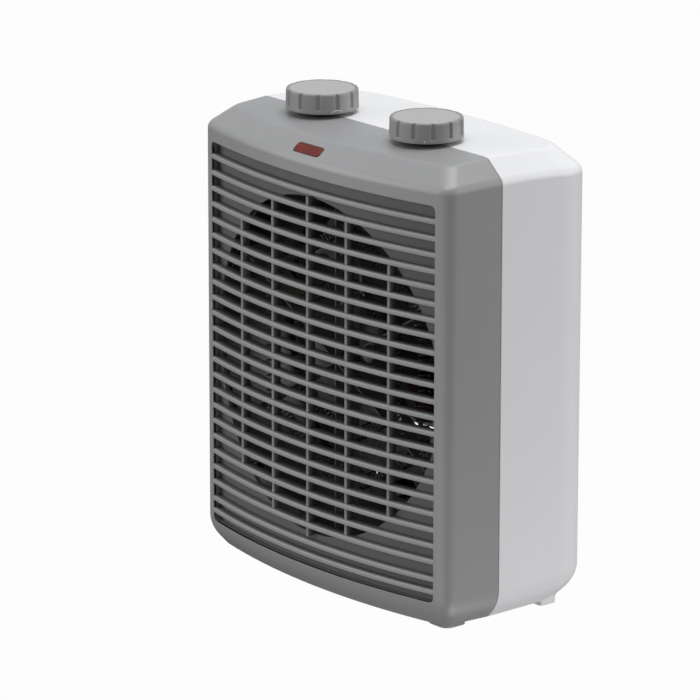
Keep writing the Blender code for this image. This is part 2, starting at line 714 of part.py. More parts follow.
def hexagon_tube(bm, reach, radius, y, sides=6):
    """A closed six-sided loop of bar, with its corners on the mica arms."""
    rings = []
    for i in range(6):
        angle = math.radians(60 * i) + math.pi / 2
        out = Vector((math.cos(angle), 0, math.sin(angle)))
        ring = []
        for j in range(sides):
            around = 2 * math.pi * (j + 0.5) / sides
            place = out * (reach + radius * math.cos(around) / math.cos(math.radians(30)))
            ring.append(bm.verts.new(place + Vector((0, y + radius * math.sin(around), AXIS_Z))))
        rings.append(ring)
    for near, far in zip(rings, rings[1:] + rings[:1]):
        for j in range(sides):
            k = (j + 1) % sides
            bm.faces.new((near[j], near[k], far[k], far[j]))


def heating_element():
    """Three crossed mica boards, seen as a six-armed star, carry two loops of coiled wire."""
    bm = bmesh.new()
    star = star_outline(6, SHROUD_INNER - 0.0010, BOARD_THICKNESS)
    ends = (ELEMENT_Y - BOARD_DEPTH / 2, ELEMENT_Y + BOARD_DEPTH / 2)
    add_rings(bm, [along("Y", star, y, (0, AXIS_Z)) for y in ends])
    frame = add_object("mica_frame", bm, "mica")
    for name, reach in COIL_REACHES:
        ring = bmesh.new()
        hexagon_tube(ring, reach, COIL_RADIUS, ELEMENT_Y)
        add_object(name, ring, "nichrome")
        notch = cutter(name + "_notch", lambda b, at=reach: hexagon_tube(b, at, COIL_SLOT_RADIUS, ELEMENT_Y))
        boolean(frame, notch, "DIFFERENCE")
    pill = [(AXIS_Z + 0.0580, 0.0019), (AXIS_Z + 0.0690, 0.0019)]
    turned("thermal_fuse", "zinc_steel", "Z", pill, (0.0028, ELEMENT_Y), 8)
    top = AXIS_Z + SHROUD_OUTER + GAP
    can = [(top, 0.0080), (top + 0.0040, 0.0080), (top + 0.0040, 0.0060), (top + 0.0070, 0.0060)]
    turned("thermal_cutout", "zinc_steel", "Z", can, (0, PARTING_Y + 0.002), 16)


def blade_section(radius):
    """Four points across a fan blade at one radius: a thin plate that twists along its length."""
    share = (radius - BLADE_ROOT) / (FAN_RADIUS - BLADE_ROOT)
    pitch = math.radians(BLADE_ROOT_PITCH - BLADE_TWIST * share)
    half_chord = BLADE_HALF_CHORD + BLADE_CHORD_GAIN * share
    points = []
    for chord, thick in ((-1, -1), (1, -1), (1, 1), (-1, 1)):
        along_chord = chord * half_chord
        off = thick * BLADE_HALF_THICKNESS
        sideways = along_chord * math.cos(pitch) - off * math.sin(pitch)
        axial = along_chord * math.sin(pitch) + off * math.cos(pitch)
        angle = sideways / radius
        points.append((radius * math.sin(angle), axial, radius * math.cos(angle)))
    return points


def fan():
    """The five-bladed impeller, its spring clip, the rotor and the shaft, which turn together."""
    bm = bmesh.new()
    add_turned(bm, "Y", HUB_PROFILE, steps=20)
    impeller = add_object("fan_impeller", bm, "black_plastic", (0, FAN_Y, AXIS_Z), smooth=True)

    def blades(b):
        for i in range(FAN_BLADES):
            turn = Matrix.Rotation(2 * math.pi * i / FAN_BLADES, 3, "Y")
            rings = []
            for step in range(5):
                radius = BLADE_ROOT + (FAN_RADIUS - BLADE_ROOT) * step / 4
                rings.append([turn @ Vector(p) + Vector((0, FAN_Y, AXIS_Z)) for p in blade_section(radius)])
            add_rings(b, rings)

    boolean(impeller, cutter("fan_blades", blades), "UNION")
    cup = round_cutter("hub_cup", "Y", 0.0178, FAN_Y - 0.0040, FAN_Y + 0.012, [(0, AXIS_Z)], 20)
    boolean(impeller, cup, "DIFFERENCE")
    stem = round_cutter("hub_stem", "Y", 0.0050, FAN_Y - 0.0050, FAN_Y + 0.0080, [(0, AXIS_Z)])
    boolean(impeller, stem, "UNION")
    bore = round_cutter("hub_bore", "Y", HUB_BORE_RADIUS, FAN_Y - 0.020, FAN_Y + 0.012, [(0, AXIS_Z)])
    boolean(impeller, bore, "DIFFERENCE")

    pin = [(FAN_Y - 0.0165, FAN_SHAFT_RADIUS), (SHAFT_END_Y, FAN_SHAFT_RADIUS)]
    turned("fan_shaft", "zinc_steel", "Y", pin, place=ON_AXIS)
    clip = sleeve(FAN_Y - 0.0148, FAN_Y - 0.0134, HUB_BORE_RADIUS, 0.0050)
    tube("fan_clip", "zinc_steel", "Y", clip, place=ON_AXIS)
    rotor = sleeve(MOTOR_Y - CORE_HALF_DEPTH, MOTOR_Y + CORE_HALF_DEPTH, HUB_BORE_RADIUS, ROTOR_RADIUS)
    tube("motor_rotor", "core_steel", "Y", rotor, steps=16, place=ON_AXIS)


def motor():
    """A shaded-pole motor: laminated core, coil, two bearing brackets with bushes, hung on a strap."""
    front, rear = MOTOR_Y - CORE_HALF_DEPTH, MOTOR_Y + CORE_HALF_DEPTH
    past_front, past_rear = front - 0.0110, rear + 0.0110
    low = (-CORE_HALF_WIDTH, front, AXIS_Z + CORE_LOW)
    core = block("motor_core", "core_steel", low, (CORE_HALF_WIDTH, rear, AXIS_Z + CORE_HIGH))
    bore = round_cutter("rotor_bore", "Y", ROTOR_BORE_RADIUS, past_front, past_rear, [(0, AXIS_Z)], 20)
    boolean(core, bore, "DIFFERENCE")
    low, high = (-0.0190, past_front, AXIS_Z - 0.0270), (0.0190, past_rear, AXIS_Z - 0.0165)
    boolean(core, cutter("core_window", lambda b: add_box(b, low, high)), "DIFFERENCE")
    holes = round_cutter("core_bolt_holes", "Y", SCREW_HOLE_RADIUS, past_front, past_rear, MOTOR_BOLTS, 8)
    boolean(core, holes, "DIFFERENCE")

    near, far = (-0.0150, front - 0.0070, AXIS_Z - 0.0430), (0.0150, rear + 0.0070, AXIS_Z - 0.0175)
    coil = block("motor_coil", "copper", near, far)
    near, far = (-0.0200, front - GAP, AXIS_Z - 0.0363), (0.0200, rear + GAP, AXIS_Z - 0.0267)
    boolean(coil, cutter("coil_limb", lambda b: add_box(b, near, far)), "DIFFERENCE")
    bearing("front", front - GAP, -1)
    bearing("rear", rear + GAP, 1)
    motor_mount(front, rear)


def bearing(end, y, way):
    """A pressed bearing bracket across one end of the core, with the bush in its cup."""
    name = end + "_bearing_bracket"
    back = y + way * STRAP_THICKNESS
    low = (-CORE_HALF_WIDTH, min(y, back), AXIS_Z - 0.0045)
    bracket = block(name, "zinc_steel", low, (CORE_HALF_WIDTH, max(y, back), AXIS_Z + 0.0160))
    cup = [(y + way * 0.0006, 0.0075), (y + way * 0.0060, 0.0068)]
    boolean(bracket, cutter(name + "_cup", lambda b: add_turned(b, "Y", cup, (0, AXIS_Z))), "UNION")
    bore = round_cutter(name + "_bore", "Y", BUSH_RADIUS + GAP, y - 0.010, y + 0.010, [(0, AXIS_Z)])
    boolean(bracket, bore, "DIFFERENCE")
    holes = round_cutter(name + "_holes", "Y", SCREW_HOLE_RADIUS, y - 0.005, y + 0.005, MOTOR_BOLTS, 8)
    boolean(bracket, holes, "DIFFERENCE")
    bush = sleeve(y, y + way * 0.0058, HUB_BORE_RADIUS, BUSH_RADIUS)
    tube(end + "_bearing_bush", "brass", "Y", bush, (0, AXIS_Z))


def motor_mount(front, rear):
    """The strap across the rear of the drum, with the screws and spacers that hold the motor to it."""
    strap_y = SHROUD_REAR_Y + GAP
    strap_back = strap_y + STRAP_THICKNESS
    near, far = (-0.0992, strap_y, AXIS_Z + 0.0020), (0.0992, strap_back, AXIS_Z + 0.0180)
    strap = block("motor_strap", "galvanised_steel", near, far)

    def pads(b):
        pad_back = strap_back - 0.0001
        add_box(b, (-0.0290, strap_y, AXIS_Z - 0.0100), (0.0290, pad_back, AXIS_Z + 0.0170))
        for x in (-0.0932, 0.0932):
            add_box(b, (x - 0.0060, strap_y, AXIS_Z - 0.0060), (x + 0.0060, pad_back, AXIS_Z + 0.0060))

    boolean(strap, cutter("strap_pads", pads), "UNION")
    near, far = strap_y - 0.005, strap_y + 0.008
    boolean(strap, round_cutter("strap_opening", "Y", 0.0085, near, far, [(0, AXIS_Z)], 16), "DIFFERENCE")
    places = STRAP_ENDS + MOTOR_BOLTS
    boolean(strap, round_cutter("strap_holes", "Y", SCREW_HOLE_RADIUS, near, far, places, 8), "DIFFERENCE")

    for side, bolt, end in zip(("left", "right"), MOTOR_BOLTS, STRAP_ENDS):
        screw(side + "_motor_screw", "Y", MOTOR_SCREW, strap_y - GAP, -1, rear + 0.0060, bolt)
        spacer = sleeve(strap_back + GAP, front - GAP - STRAP_THICKNESS - GAP, SCREW_HOLE_RADIUS, 0.0038)
        tube(side + "_motor_spacer", "zinc_steel", "Y", spacer, bolt, 10)
        screw(side + "_strap_screw", "Y", STRAP_SCREW, strap_back + GAP, 1, SHROUD_REAR_Y - 0.0030, end)


# ---------------------------------------------------------------- supply and fixings
def supply():
    """The cord inlet's bush, its clamp and the terminal block. The cord itself is not modelled."""
    x = CORD_CENTRE[0]
    flange = 0.0646
    bush = (
        (0.0500, 0.0034),
        (0.0500, 0.0058),
        (flange, 0.0058),
        (flange, 0.0082),
        (0.0672, 0.0076),
        (0.0672, 0.0034),
    )
    tube("cord_bush", "black_plastic", "Y", bush, CORD_CENTRE, 16)
    top = CLAMP_Z + 0.0030
    clamp = block("cord_clamp", "nylon", (x - 0.0175, 0.0355, CLAMP_Z), (x + 0.0175, 0.0445, top))
    low, high = CLAMP_Z - 0.002, top + 0.002
    holes = round_cutter("clamp_holes", "Z", SCREW_HOLE_RADIUS, low, high, CLAMP_SCREWS, 8)
    boolean(clamp, holes, "DIFFERENCE")
    for side, place in zip(("left", "right"), CLAMP_SCREWS):
        screw(side + "_clamp_screw", "Z", CLAMP_SCREW, top + GAP, 1, 0.0150, place)
    floor = FOOT_HEIGHT + WALL + GAP
    block("terminal_block", "nylon", (-0.0250, 0.0250, floor), (0.0150, 0.0420, 0.0210))


def fixings():
    """Case screws in their wells, and the shroud's screws."""
    names = ("lower_left", "lower_right", "upper_left", "upper_right")
    seat = PARTING_Y + SCREW_WELL_FLOOR + GAP
    for name, place in zip(names, CASE_SCREWS):
        screw(name + "_case_screw", "Y", CASE_SCREW, seat, 1, PARTING_Y - 0.0115, place)
    names = ("lower_left", "upper_left", "lower_right", "upper_right")
    for name, place in zip(names, shroud_screw_places()):
        screw(name + "_shroud_screw", "Y", SHROUD_SCREW, LUG_Y + SHEET + GAP, 1, LUG_Y - 0.0072, place)


def build():
    clear_scene()
    shaft_places = [(KNOB_X, PARTING_Y), (-KNOB_X, PARTING_Y)]
    low, high = TOP_Z - 0.006, TOP_Z + 0.004
    round_cutter("shaft_holes", "Z", SHAFT_HOLE_RADIUS, low, high, shaft_places, 24)
    front_cover()
    rear_housing()
    controls()
    indicator()
    fan_shroud()
    heating_element()
    fan()
    motor()
    supply()
    fixings()


build()
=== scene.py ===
import json
import math

import bmesh
import bpy
from mathutils import Matrix, Vector


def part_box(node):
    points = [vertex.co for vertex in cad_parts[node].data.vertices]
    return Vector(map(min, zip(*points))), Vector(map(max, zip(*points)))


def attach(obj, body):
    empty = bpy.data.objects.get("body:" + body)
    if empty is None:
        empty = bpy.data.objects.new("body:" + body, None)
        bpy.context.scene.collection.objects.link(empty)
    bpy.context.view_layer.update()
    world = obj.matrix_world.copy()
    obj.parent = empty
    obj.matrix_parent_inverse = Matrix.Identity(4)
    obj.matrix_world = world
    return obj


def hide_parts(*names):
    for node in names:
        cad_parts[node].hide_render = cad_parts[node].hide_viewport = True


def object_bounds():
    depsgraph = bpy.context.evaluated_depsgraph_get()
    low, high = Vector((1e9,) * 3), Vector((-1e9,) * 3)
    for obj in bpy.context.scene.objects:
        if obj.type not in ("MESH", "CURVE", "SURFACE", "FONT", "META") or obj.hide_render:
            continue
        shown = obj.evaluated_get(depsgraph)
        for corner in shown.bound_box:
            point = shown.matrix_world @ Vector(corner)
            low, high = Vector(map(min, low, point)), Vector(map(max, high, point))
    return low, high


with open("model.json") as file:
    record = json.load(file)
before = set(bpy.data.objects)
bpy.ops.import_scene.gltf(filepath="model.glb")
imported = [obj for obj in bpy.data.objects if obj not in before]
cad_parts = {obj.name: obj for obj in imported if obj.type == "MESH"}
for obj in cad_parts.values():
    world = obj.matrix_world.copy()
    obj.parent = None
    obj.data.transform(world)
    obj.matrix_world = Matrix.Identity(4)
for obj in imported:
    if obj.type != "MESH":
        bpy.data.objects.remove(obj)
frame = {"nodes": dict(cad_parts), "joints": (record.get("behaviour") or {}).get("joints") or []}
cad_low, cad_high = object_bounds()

# ---------- places, from the frame
JOINTS = {joint["name"]: joint for joint in frame["joints"]}
FRONT_Y = cad_low.y
REAR_Y = cad_high.y
HALF_WIDTH = cad_high.x
PARTING_GAP = 0.0003
PARTING_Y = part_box("front_cover")[1].y + PARTING_GAP / 2
TOP_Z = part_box("front_cover")[1].z
GROUND_Z = cad_low.z
AXIS_Z = JOINTS["fan_spin"]["pos_m"][2]
KNOB_X = JOINTS["selector_turn"]["pos_m"][0]
KNOB_LOW, KNOB_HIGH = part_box("selector_knob")
SHROUD_LOW, SHROUD_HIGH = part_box("fan_shroud")

# ---------- driving dimensions
# Case. A fall or a crown is how fast the top drops away from the parting line.
BOW_RADIUS = 0.432
FRONT_CORNER = 0.009
REAR_CORNER = 0.033
FRONT_DRAFT = 0.070
REAR_DRAFT = 0.030
FRONT_FALL = 0.055
REAR_CROWN = 1.0
FOOT = 0.003
WALL = 0.0022
EDGE_BREAK = 0.00035
TOP_CHAMFER = 0.0130
CREASE_Z = 0.2551
# The mating edges stand this far from the parting plane.
MATING_GAP = 0.00012
# Share of the top's fall that the front crease takes part in.
FRONT_CREASE_SHARE = 0.5
# The bottom chamfer's run and rise.
BOTTOM_CHAMFER = (0.0089, 0.0110)
# Radii of the section's four bends, from the underside up to the top.
CREASE_RADII = (0.004, 0.020, 0.0065, 0.005)
# How far the flat underside and the flat top start in from the side walls.
UNDERSIDE_INSET = 0.024
TOP_INSET = 0.026
# Steps along a side wall, round a corner and along the bow.
FRONT_STEPS = (4, 14, 60)
REAR_STEPS = (14, 22, 44)

# Grille. Depths are measured behind the bowed front face.
GRILLE_HALF = 0.0986
GRILLE_LOW = 0.0183
GRILLE_HIGH = 0.2446
GRILLE_CORNER = 0.0030
LIP = 0.0006
SLAT_HEIGHT = 0.0029
SLAT_PITCH = 0.00921
SLAT_COUNT = 24
TOP_SLAT = 0.2345
SLAT_DEPTH = 0.0074
SLAT_DRAFT = 0.00045
# Steps below the top slat and above the two lowest ones, which differ from the pitch.
FIRST_STEP = 0.0096
LAST_STEPS = (0.0101, 0.0074)
# How far the slats and ribs run into the moulding beside them.
ROOT = 0.0012
BLANK_FRONT = 0.0057
BLANK_BACK = 0.0082
RIB_PITCH = 0.0325
RIB_HALF = 0.0011
RIB_FRONT = 0.0018
RIB_DEPTH = 0.0055
OUTLET_RADIUS = 0.0977

# Painted shade on the grille, for the shadow deep behind its bowed front: the depths where it starts and is
# full.
PAINTED_SHADE_DEPTH = (0.0004, 0.0056)

# Knobs, with a flute's half width as a share of the flutes' pitch, and the holes under them.
KNOB_RADIUS = 0.0208
FLUTES = 12
FLUTE_HALF = 0.13
SHAFT_HOLE = 0.0071
# Lamp window: its place is a share of the way up the slanted band.
LENS_X = -0.0034
LENS_SIZE = (0.0225, 0.0065)
LENS_PLACE = 0.45
LENS_CORNER = 0.0020
LENS_GAP = 0.0003
# Feet: inner and outer x of the right-hand one, and its front and rear y.
FRONT_FOOT = (0.0785, 0.0965, PARTING_Y - 0.0270, PARTING_Y - 0.0125)
REAR_FOOT = (0.0850, 0.0992, PARTING_Y + 0.0409, PARTING_Y + 0.0530)
# A foot's section: heights above the ground, and how far in its sides are there.
FOOT_STAGES = ((0.0, 0.0008), (0.0001, 0.0004), (0.0004, 0.0001), (0.0008, 0.0), (0.0045, -0.0001))


# ---------- materials
# Noise scale of a moulding's faint clouds, and that of its grain at a pitch of 1.
CLOUD_SCALE = 18.0
GRAIN_SCALE = 0.7
# The wave texture's scale at a pitch of 1, the pitch of the window's lines, and its patches' scale.
BAND_SCALE = 0.314
PRISM_PITCH = 0.0011
PATCH_SCALE = 420.0


def add_node(nodes, kind, values=(), **settings):
    """Adds a shader node with its settings, and with values for inputs named or numbered in pairs."""
    made = nodes.new("ShaderNode" + kind)
    for key, value in settings.items():
        setattr(made, key, value)
    for key, value in values:
        made.inputs[key].default_value = value
    return made


def noise(nodes, links, scale, detail=2.0, roughness=0.5):
    """A noise texture fixed to the object."""
    place = nodes.get("Place") or add_node(nodes, "TexCoord", name="Place")
    made = add_node(nodes, "TexNoise", [("Scale", scale), ("Detail", detail), ("Roughness", roughness)])
    links.new(place.outputs["Object"], made.inputs["Vector"])
    return made.outputs["Fac"]


def blend(nodes, links, source, low, high):
    """Runs the base colour from low to high as the source goes from 0 to 1."""
    made = add_node(nodes, "Mix", data_type="RGBA")
    made.inputs["A"].default_value = (*low, 1)
    made.inputs["B"].default_value = (*high, 1)
    links.new(source, made.inputs["Factor"])
    links.new(made.outputs["Result"], nodes["Principled BSDF"].inputs["Base Color"])


def relief(nodes, links, source, strength, distance):
    """Raises or sinks the surface a little, as the source says."""
    made = add_node(nodes, "Bump", [("Strength", strength), ("Distance", distance)])
    links.new(source, made.inputs["Height"])
    links.new(made.outputs["Normal"], nodes["Principled BSDF"].inputs["Normal"])


def moulded(name, colour, roughness, grain=0.00045, bump=0.10, variation=0.04, specular=0.5, metallic=0.0):
    """Moulded plastic or plain metal, with a fine grain, faint clouds and a little change of gloss."""
    mat = bpy.data.materials.new(name)
    mat.use_nodes = True
    nodes, links = mat.node_tree.nodes, mat.node_tree.links
    shader = nodes["Principled BSDF"]
    shader.inputs["Metallic"].default_value = metallic
    shader.inputs["Specular IOR Level"].default_value = specular
    darker = [c * (1 - variation) for c in colour]
    lighter = [min(1, c * (1 + variation)) for c in colour]
    blend(nodes, links, noise(nodes, links, CLOUD_SCALE, 3.0), darker, lighter)
    fine = noise(nodes, links, GRAIN_SCALE / grain, 2.0, 0.6)
    gloss = add_node(nodes, "MapRange", [("To Min", roughness - 0.05), ("To Max", roughness + 0.05)])
    links.new(fine, gloss.inputs["Value"])
    links.new(gloss.outputs["Result"], shader.inputs["Roughness"])
    relief(nodes, links, fine, bump, 0.0002)
    return mat


def painted_depth_shade(mat, shade_at_back):
    """Darkens a moulding towards its back, behind the bowed front face: painted shade for the shadow deep in
    the grille.
    """
    nodes, links = mat.node_tree.nodes, mat.node_tree.links
    base = nodes["Principled BSDF"].inputs["Base Color"]
    colour = base.links[0].from_socket
    from_axis = [(1, (1, 1, 0)), (2, (0, -FRONT_Y - BOW_RADIUS, 0))]
    off_axis = add_node(nodes, "VectorMath", from_axis, operation="MULTIPLY_ADD")
    links.new(nodes["Place"].outputs["Object"], off_axis.inputs[0])
    reach = add_node(nodes, "VectorMath", operation="LENGTH")
    links.new(off_axis.outputs["Vector"], reach.inputs[0])
    start, full = PAINTED_SHADE_DEPTH
    values = [("From Min", BOW_RADIUS - full), ("From Max", BOW_RADIUS - start), ("To Min", shade_at_back)]
    shade = add_node(nodes, "MapRange", values)
    links.new(reach.outputs["Value"], shade.inputs["Value"])
    dimmed = add_node(nodes, "VectorMath", operation="SCALE")
    links.new(colour, dimmed.inputs[0])
    links.new(shade.outputs["Result"], dimmed.inputs["Scale"])
    links.new(dimmed.outputs["Vector"], base)
    return mat


def banded(name, colour, dark, roughness, pitch, axis, metallic=1.0, bump=0.5):
    """A surface with fine parallel lines, such as laminations, rolled sheet or a winding."""
    mat = moulded(name, colour, roughness, metallic=metallic, variation=0.10)
    nodes, links = mat.node_tree.nodes, mat.node_tree.links
    values = [("Scale", BAND_SCALE / pitch), ("Distortion", 0.4)]
    wave = add_node(nodes, "TexWave", values, bands_direction=axis)
    links.new(nodes["Place"].outputs["Object"], wave.inputs["Vector"])
    blend(nodes, links, wave.outputs["Fac"], dark, colour)
    relief(nodes, links, wave.outputs["Fac"], bump, pitch * 0.4)
    return mat


def lens_material():
    """Red plastic with fine moulded lines, and darker patches of painted shade where its inner prisms face
    away from the light.
    """
    mat = moulded("red_window", (0.28, 0.055, 0.035), 0.30, variation=0.1, specular=0.35)
    nodes, links = mat.node_tree.nodes, mat.node_tree.links
    values = [("Scale", BAND_SCALE / PRISM_PITCH), ("Distortion", 2.5)]
    values += [("Detail", 2.0), ("Detail Scale", 3.0)]
    lines = add_node(nodes, "TexWave", values, bands_direction="X")
    links.new(nodes["Place"].outputs["Object"], lines.inputs["Vector"])
    mask = add_node(nodes, "Math", operation="MULTIPLY")
    links.new(lines.outputs["Fac"], mask.inputs[0])
    links.new(noise(nodes, links, PATCH_SCALE), mask.inputs[1])
    # The darker red of the patches is painted shade.
    ramp = add_node(nodes, "ValToRGB")
    dark, light = ramp.color_ramp.elements
    dark.position, dark.color = 0.12, (0.055, 0.010, 0.007, 1)
    light.position, light.color = 0.42, (0.26, 0.026, 0.012, 1)
    links.new(mask.outputs["Value"], ramp.inputs["Fac"])
    links.new(ramp.outputs["Color"], nodes["Principled BSDF"].inputs["Base Color"])
    relief(nodes, links, lines.outputs["Fac"], 0.4, 0.0003)
    return mat


GREY = moulded("grey_case", (0.308, 0.311, 0.317), 0.42, specular=0.68)
# The slats, ribs and the wall behind them darken with depth: painted shade.
GRILLE_GREY = painted_depth_shade(moulded("grey_grille", (0.315, 0.318, 0.322), 0.45), 0.22)
OUTLET_GREY = painted_depth_shade(moulded("grey_outlet_wall", (0.312, 0.315, 0.320), 0.50), 0.44)
WHITE = moulded("white_case", (0.79, 0.795, 0.812), 0.45, variation=0.015)
KNOB_GREY = moulded("grey_knob", (0.262, 0.262, 0.262), 0.45)
# The top disc is a lighter grey than the knob's body; part of that lightness is a painted sheen of the
# overhead light on the flat top.
KNOB_TOP = moulded("lighter_knob_disc", (0.405, 0.405, 0.405), 0.45, grain=0.0007, bump=0.2)
BLACK = moulded("black_plastic", (0.018, 0.018, 0.019), 0.55)
DARK = moulded("dark_plastic", (0.035, 0.035, 0.036), 0.50)
MARK = moulded("printed_white", (0.75, 0.75, 0.75), 0.60)
NYLON = moulded("natural_nylon", (0.70, 0.69, 0.63), 0.50)
ZINC = banded("zinc_sheet", (0.42, 0.42, 0.43), (0.34, 0.34, 0.35), 0.42, 0.0009, "X", bump=0.08)
DRUM = banded("drum_sheet", (0.16, 0.16, 0.165), (0.12, 0.12, 0.125), 0.45, 0.0012, "Y", bump=0.10)
SCREW_STEEL = moulded("screw_steel", (0.62, 0.62, 0.60), 0.32, metallic=1.0, variation=0.08)
BRASS = moulded("brass", (0.72, 0.55, 0.27), 0.35, metallic=1.0, variation=0.08)
MICA = moulded("mica_board", (0.135, 0.125, 0.105), 0.60, grain=0.0012, bump=0.35, variation=0.25)
WIRE = moulded("oxidised_wire", (0.10, 0.093, 0.088), 0.55, metallic=1.0, variation=0.2)
LAMINATIONS = banded("laminated_core", (0.30, 0.30, 0.31), (0.10, 0.10, 0.10), 0.50, 0.0007, "Y")
WINDING = banded("copper_winding", (0.075, 0.036, 0.025), (0.04, 0.020, 0.014), 0.55, 0.0005, "X")
GLASS = moulded("lamp_glass", (0.80, 0.62, 0.50), 0.12, bump=0.02, variation=0.03)
RED = lens_material()


# ---------- mesh helpers
def new_object(name, bm):
    bmesh.ops.recalc_face_normals(bm, faces=bm.faces)
    mesh = bpy.data.meshes.new(name)
    bm.to_mesh(mesh)
    bm.free()
    made = bpy.data.objects.new(name, mesh)
    bpy.context.scene.collection.objects.link(made)
    return made


def shaped(base, steps):
    """Applies a piece's modifiers, then booleans in turn: (operation, bmesh of the other solid)."""
    helpers = []
    for index, (operation, bm) in enumerate(steps):
        other = new_object(f"{base.name}_tool_{index}", bm)
        helpers.append(other)
        step = base.modifiers.new(operation, "BOOLEAN")
        step.operation = operation
        step.solver = "EXACT"
        step.object = other
    graph = bpy.context.evaluated_depsgraph_get()
    mesh = bpy.data.meshes.new_from_object(base.evaluated_get(graph))
    base.modifiers.clear()
    base.data = mesh
    for helper in helpers:
        bpy.data.objects.remove(helper)
    return base


def cut(base, *cutters):
    return shaped(base, [("DIFFERENCE", bm) for bm in cutters])


def finish_piece(obj, material, slot, body="case", replaces=(), sharp=35.0, weighted=True):
    """Shades a piece, gives it its material and fixes it to its body."""
    obj.data.materials.clear()
    obj.data.materials.append(material)
    obj.data.shade_smooth()
    obj.data.set_sharp_from_angle(angle=math.radians(sharp))
    if weighted:
        even = obj.modifiers.new("even_normals", "WEIGHTED_NORMAL")
        even.keep_sharp = True
    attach(obj, body)
    if replaces:
        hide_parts(*replaces)


def add_rings(bm, rings, closed=False, ladder=False):
    """Skins closed rings of points one after the other, with flat ends, or ends made of upright strips."""
    made = [[bm.verts.new(point) for point in ring] for ring in rings]
    count = len(rings[0])
    pairs = list(zip(made, made[1:]))
    if closed:
        pairs.append((made[-1], made[0]))
    for near, far in pairs:
        for i in range(count):
            j = (i + 1) % count
            bm.faces.new((near[i], near[j], far[j], far[i]))
    if closed:
        return
    for ring in (made[0], made[-1]):
        if not ladder:
            bm.faces.new(ring)
            continue
        for i in range(count // 2 - 1):
            bm.faces.new((ring[i], ring[i + 1], ring[count - 2 - i], ring[count - 1 - i]))


def circle(radius, steps, turn=0.0):
    angles = [turn + 2 * math.pi * i / steps for i in range(steps)]
    return [(radius * math.cos(a), radius * math.sin(a)) for a in angles]


def across(axis, pairs, position, centre=(0.0, 0.0)):
    """Flat pairs set square to an axis: X gives (Y, Z), Y gives (X, Z), Z gives (X, Y)."""
    ca, cb = centre
    if axis == "X":
        return [(position, ca + a, cb + b) for a, b in pairs]
    if axis == "Y":
        return [(ca + a, position, cb + b) for a, b in pairs]
    return [(ca + a, cb + b, position) for a, b in pairs]


def add_turned(bm, axis, profile, centre=(0.0, 0.0), steps=48, closed=False):
    """A turned solid from (position, radius) pairs: capped, or a ring when the profile is closed."""
    add_rings(bm, [across(axis, circle(r, steps), p, centre) for p, r in profile], closed)


def rounded_path(corners, radii, steps):
    """A flat path whose inner corners are replaced by arcs."""
    path = [Vector(corners[0])]
    for before, here, after, radius in zip(corners, corners[1:], corners[2:], radii):
        here = Vector(here)
        back, on = (Vector(before) - here).normalized(), (Vector(after) - here).normalized()
        half = math.acos(max(-1.0, min(1.0, back.dot(on)))) / 2
        centre = here + (back + on).normalized() * radius / math.sin(half)
        start = here + back * radius / math.tan(half) - centre
        end = here + on * radius / math.tan(half) - centre
        turn = math.acos(max(-1.0, min(1.0, start.normalized().dot(end.normalized()))))
        for i in range(steps + 1):
            t = i / steps
            point = (math.sin((1 - t) * turn) * start + math.sin(t * turn) * end) / math.sin(turn)
            path.append(centre + point)
    path.append(Vector(corners[-1]))
    return path


def rounded_rectangle(half_w, half_h, radius, grow=0.0, parts=1, steps=6):
    """Outline of a rectangle with round corners, as (a, b) pairs, grown evenly.

    Its level sides are divided into that many parts.
    """
    half_w, half_h, radius = half_w + grow, half_h + grow, radius + grow
    points = []
    for ca, cb, start in ((1, 1, 0), (-1, 1, 90), (-1, -1, 180), (1, -1, 270)):
        for i in range(steps + 1):
            angle = math.radians(start + 90 * i / steps)
            a = ca * (half_w - radius) + radius * math.cos(angle)
            b = cb * (half_h - radius) + radius * math.sin(angle)
            points.append((a, b))
        if ca == cb:
            reach = half_w - radius
            points += [(ca * reach * (1 - 2 * i / parts), cb * half_h) for i in range(1, parts)]
    return points


def add_flared(bm, outline, place, depth, lip=LIP, above=0.003):
    """A cutting prism whose mouth flares, so that the edge it leaves is rounded.

    outline(grow) gives the opening's outline, and place(a, b, depth) a point that deep in the wall.
    """
    stages = [(-above, lip)]
    for i in range(5):
        angle = math.radians(22.5 * i)
        stages.append((lip * (1 - math.cos(angle)), lip * (1 - math.sin(angle))))
    stages.append((depth, 0.0))
    add_rings(bm, [[place(a, b, d) for a, b in outline(grow)] for d, grow in stages], ladder=True)


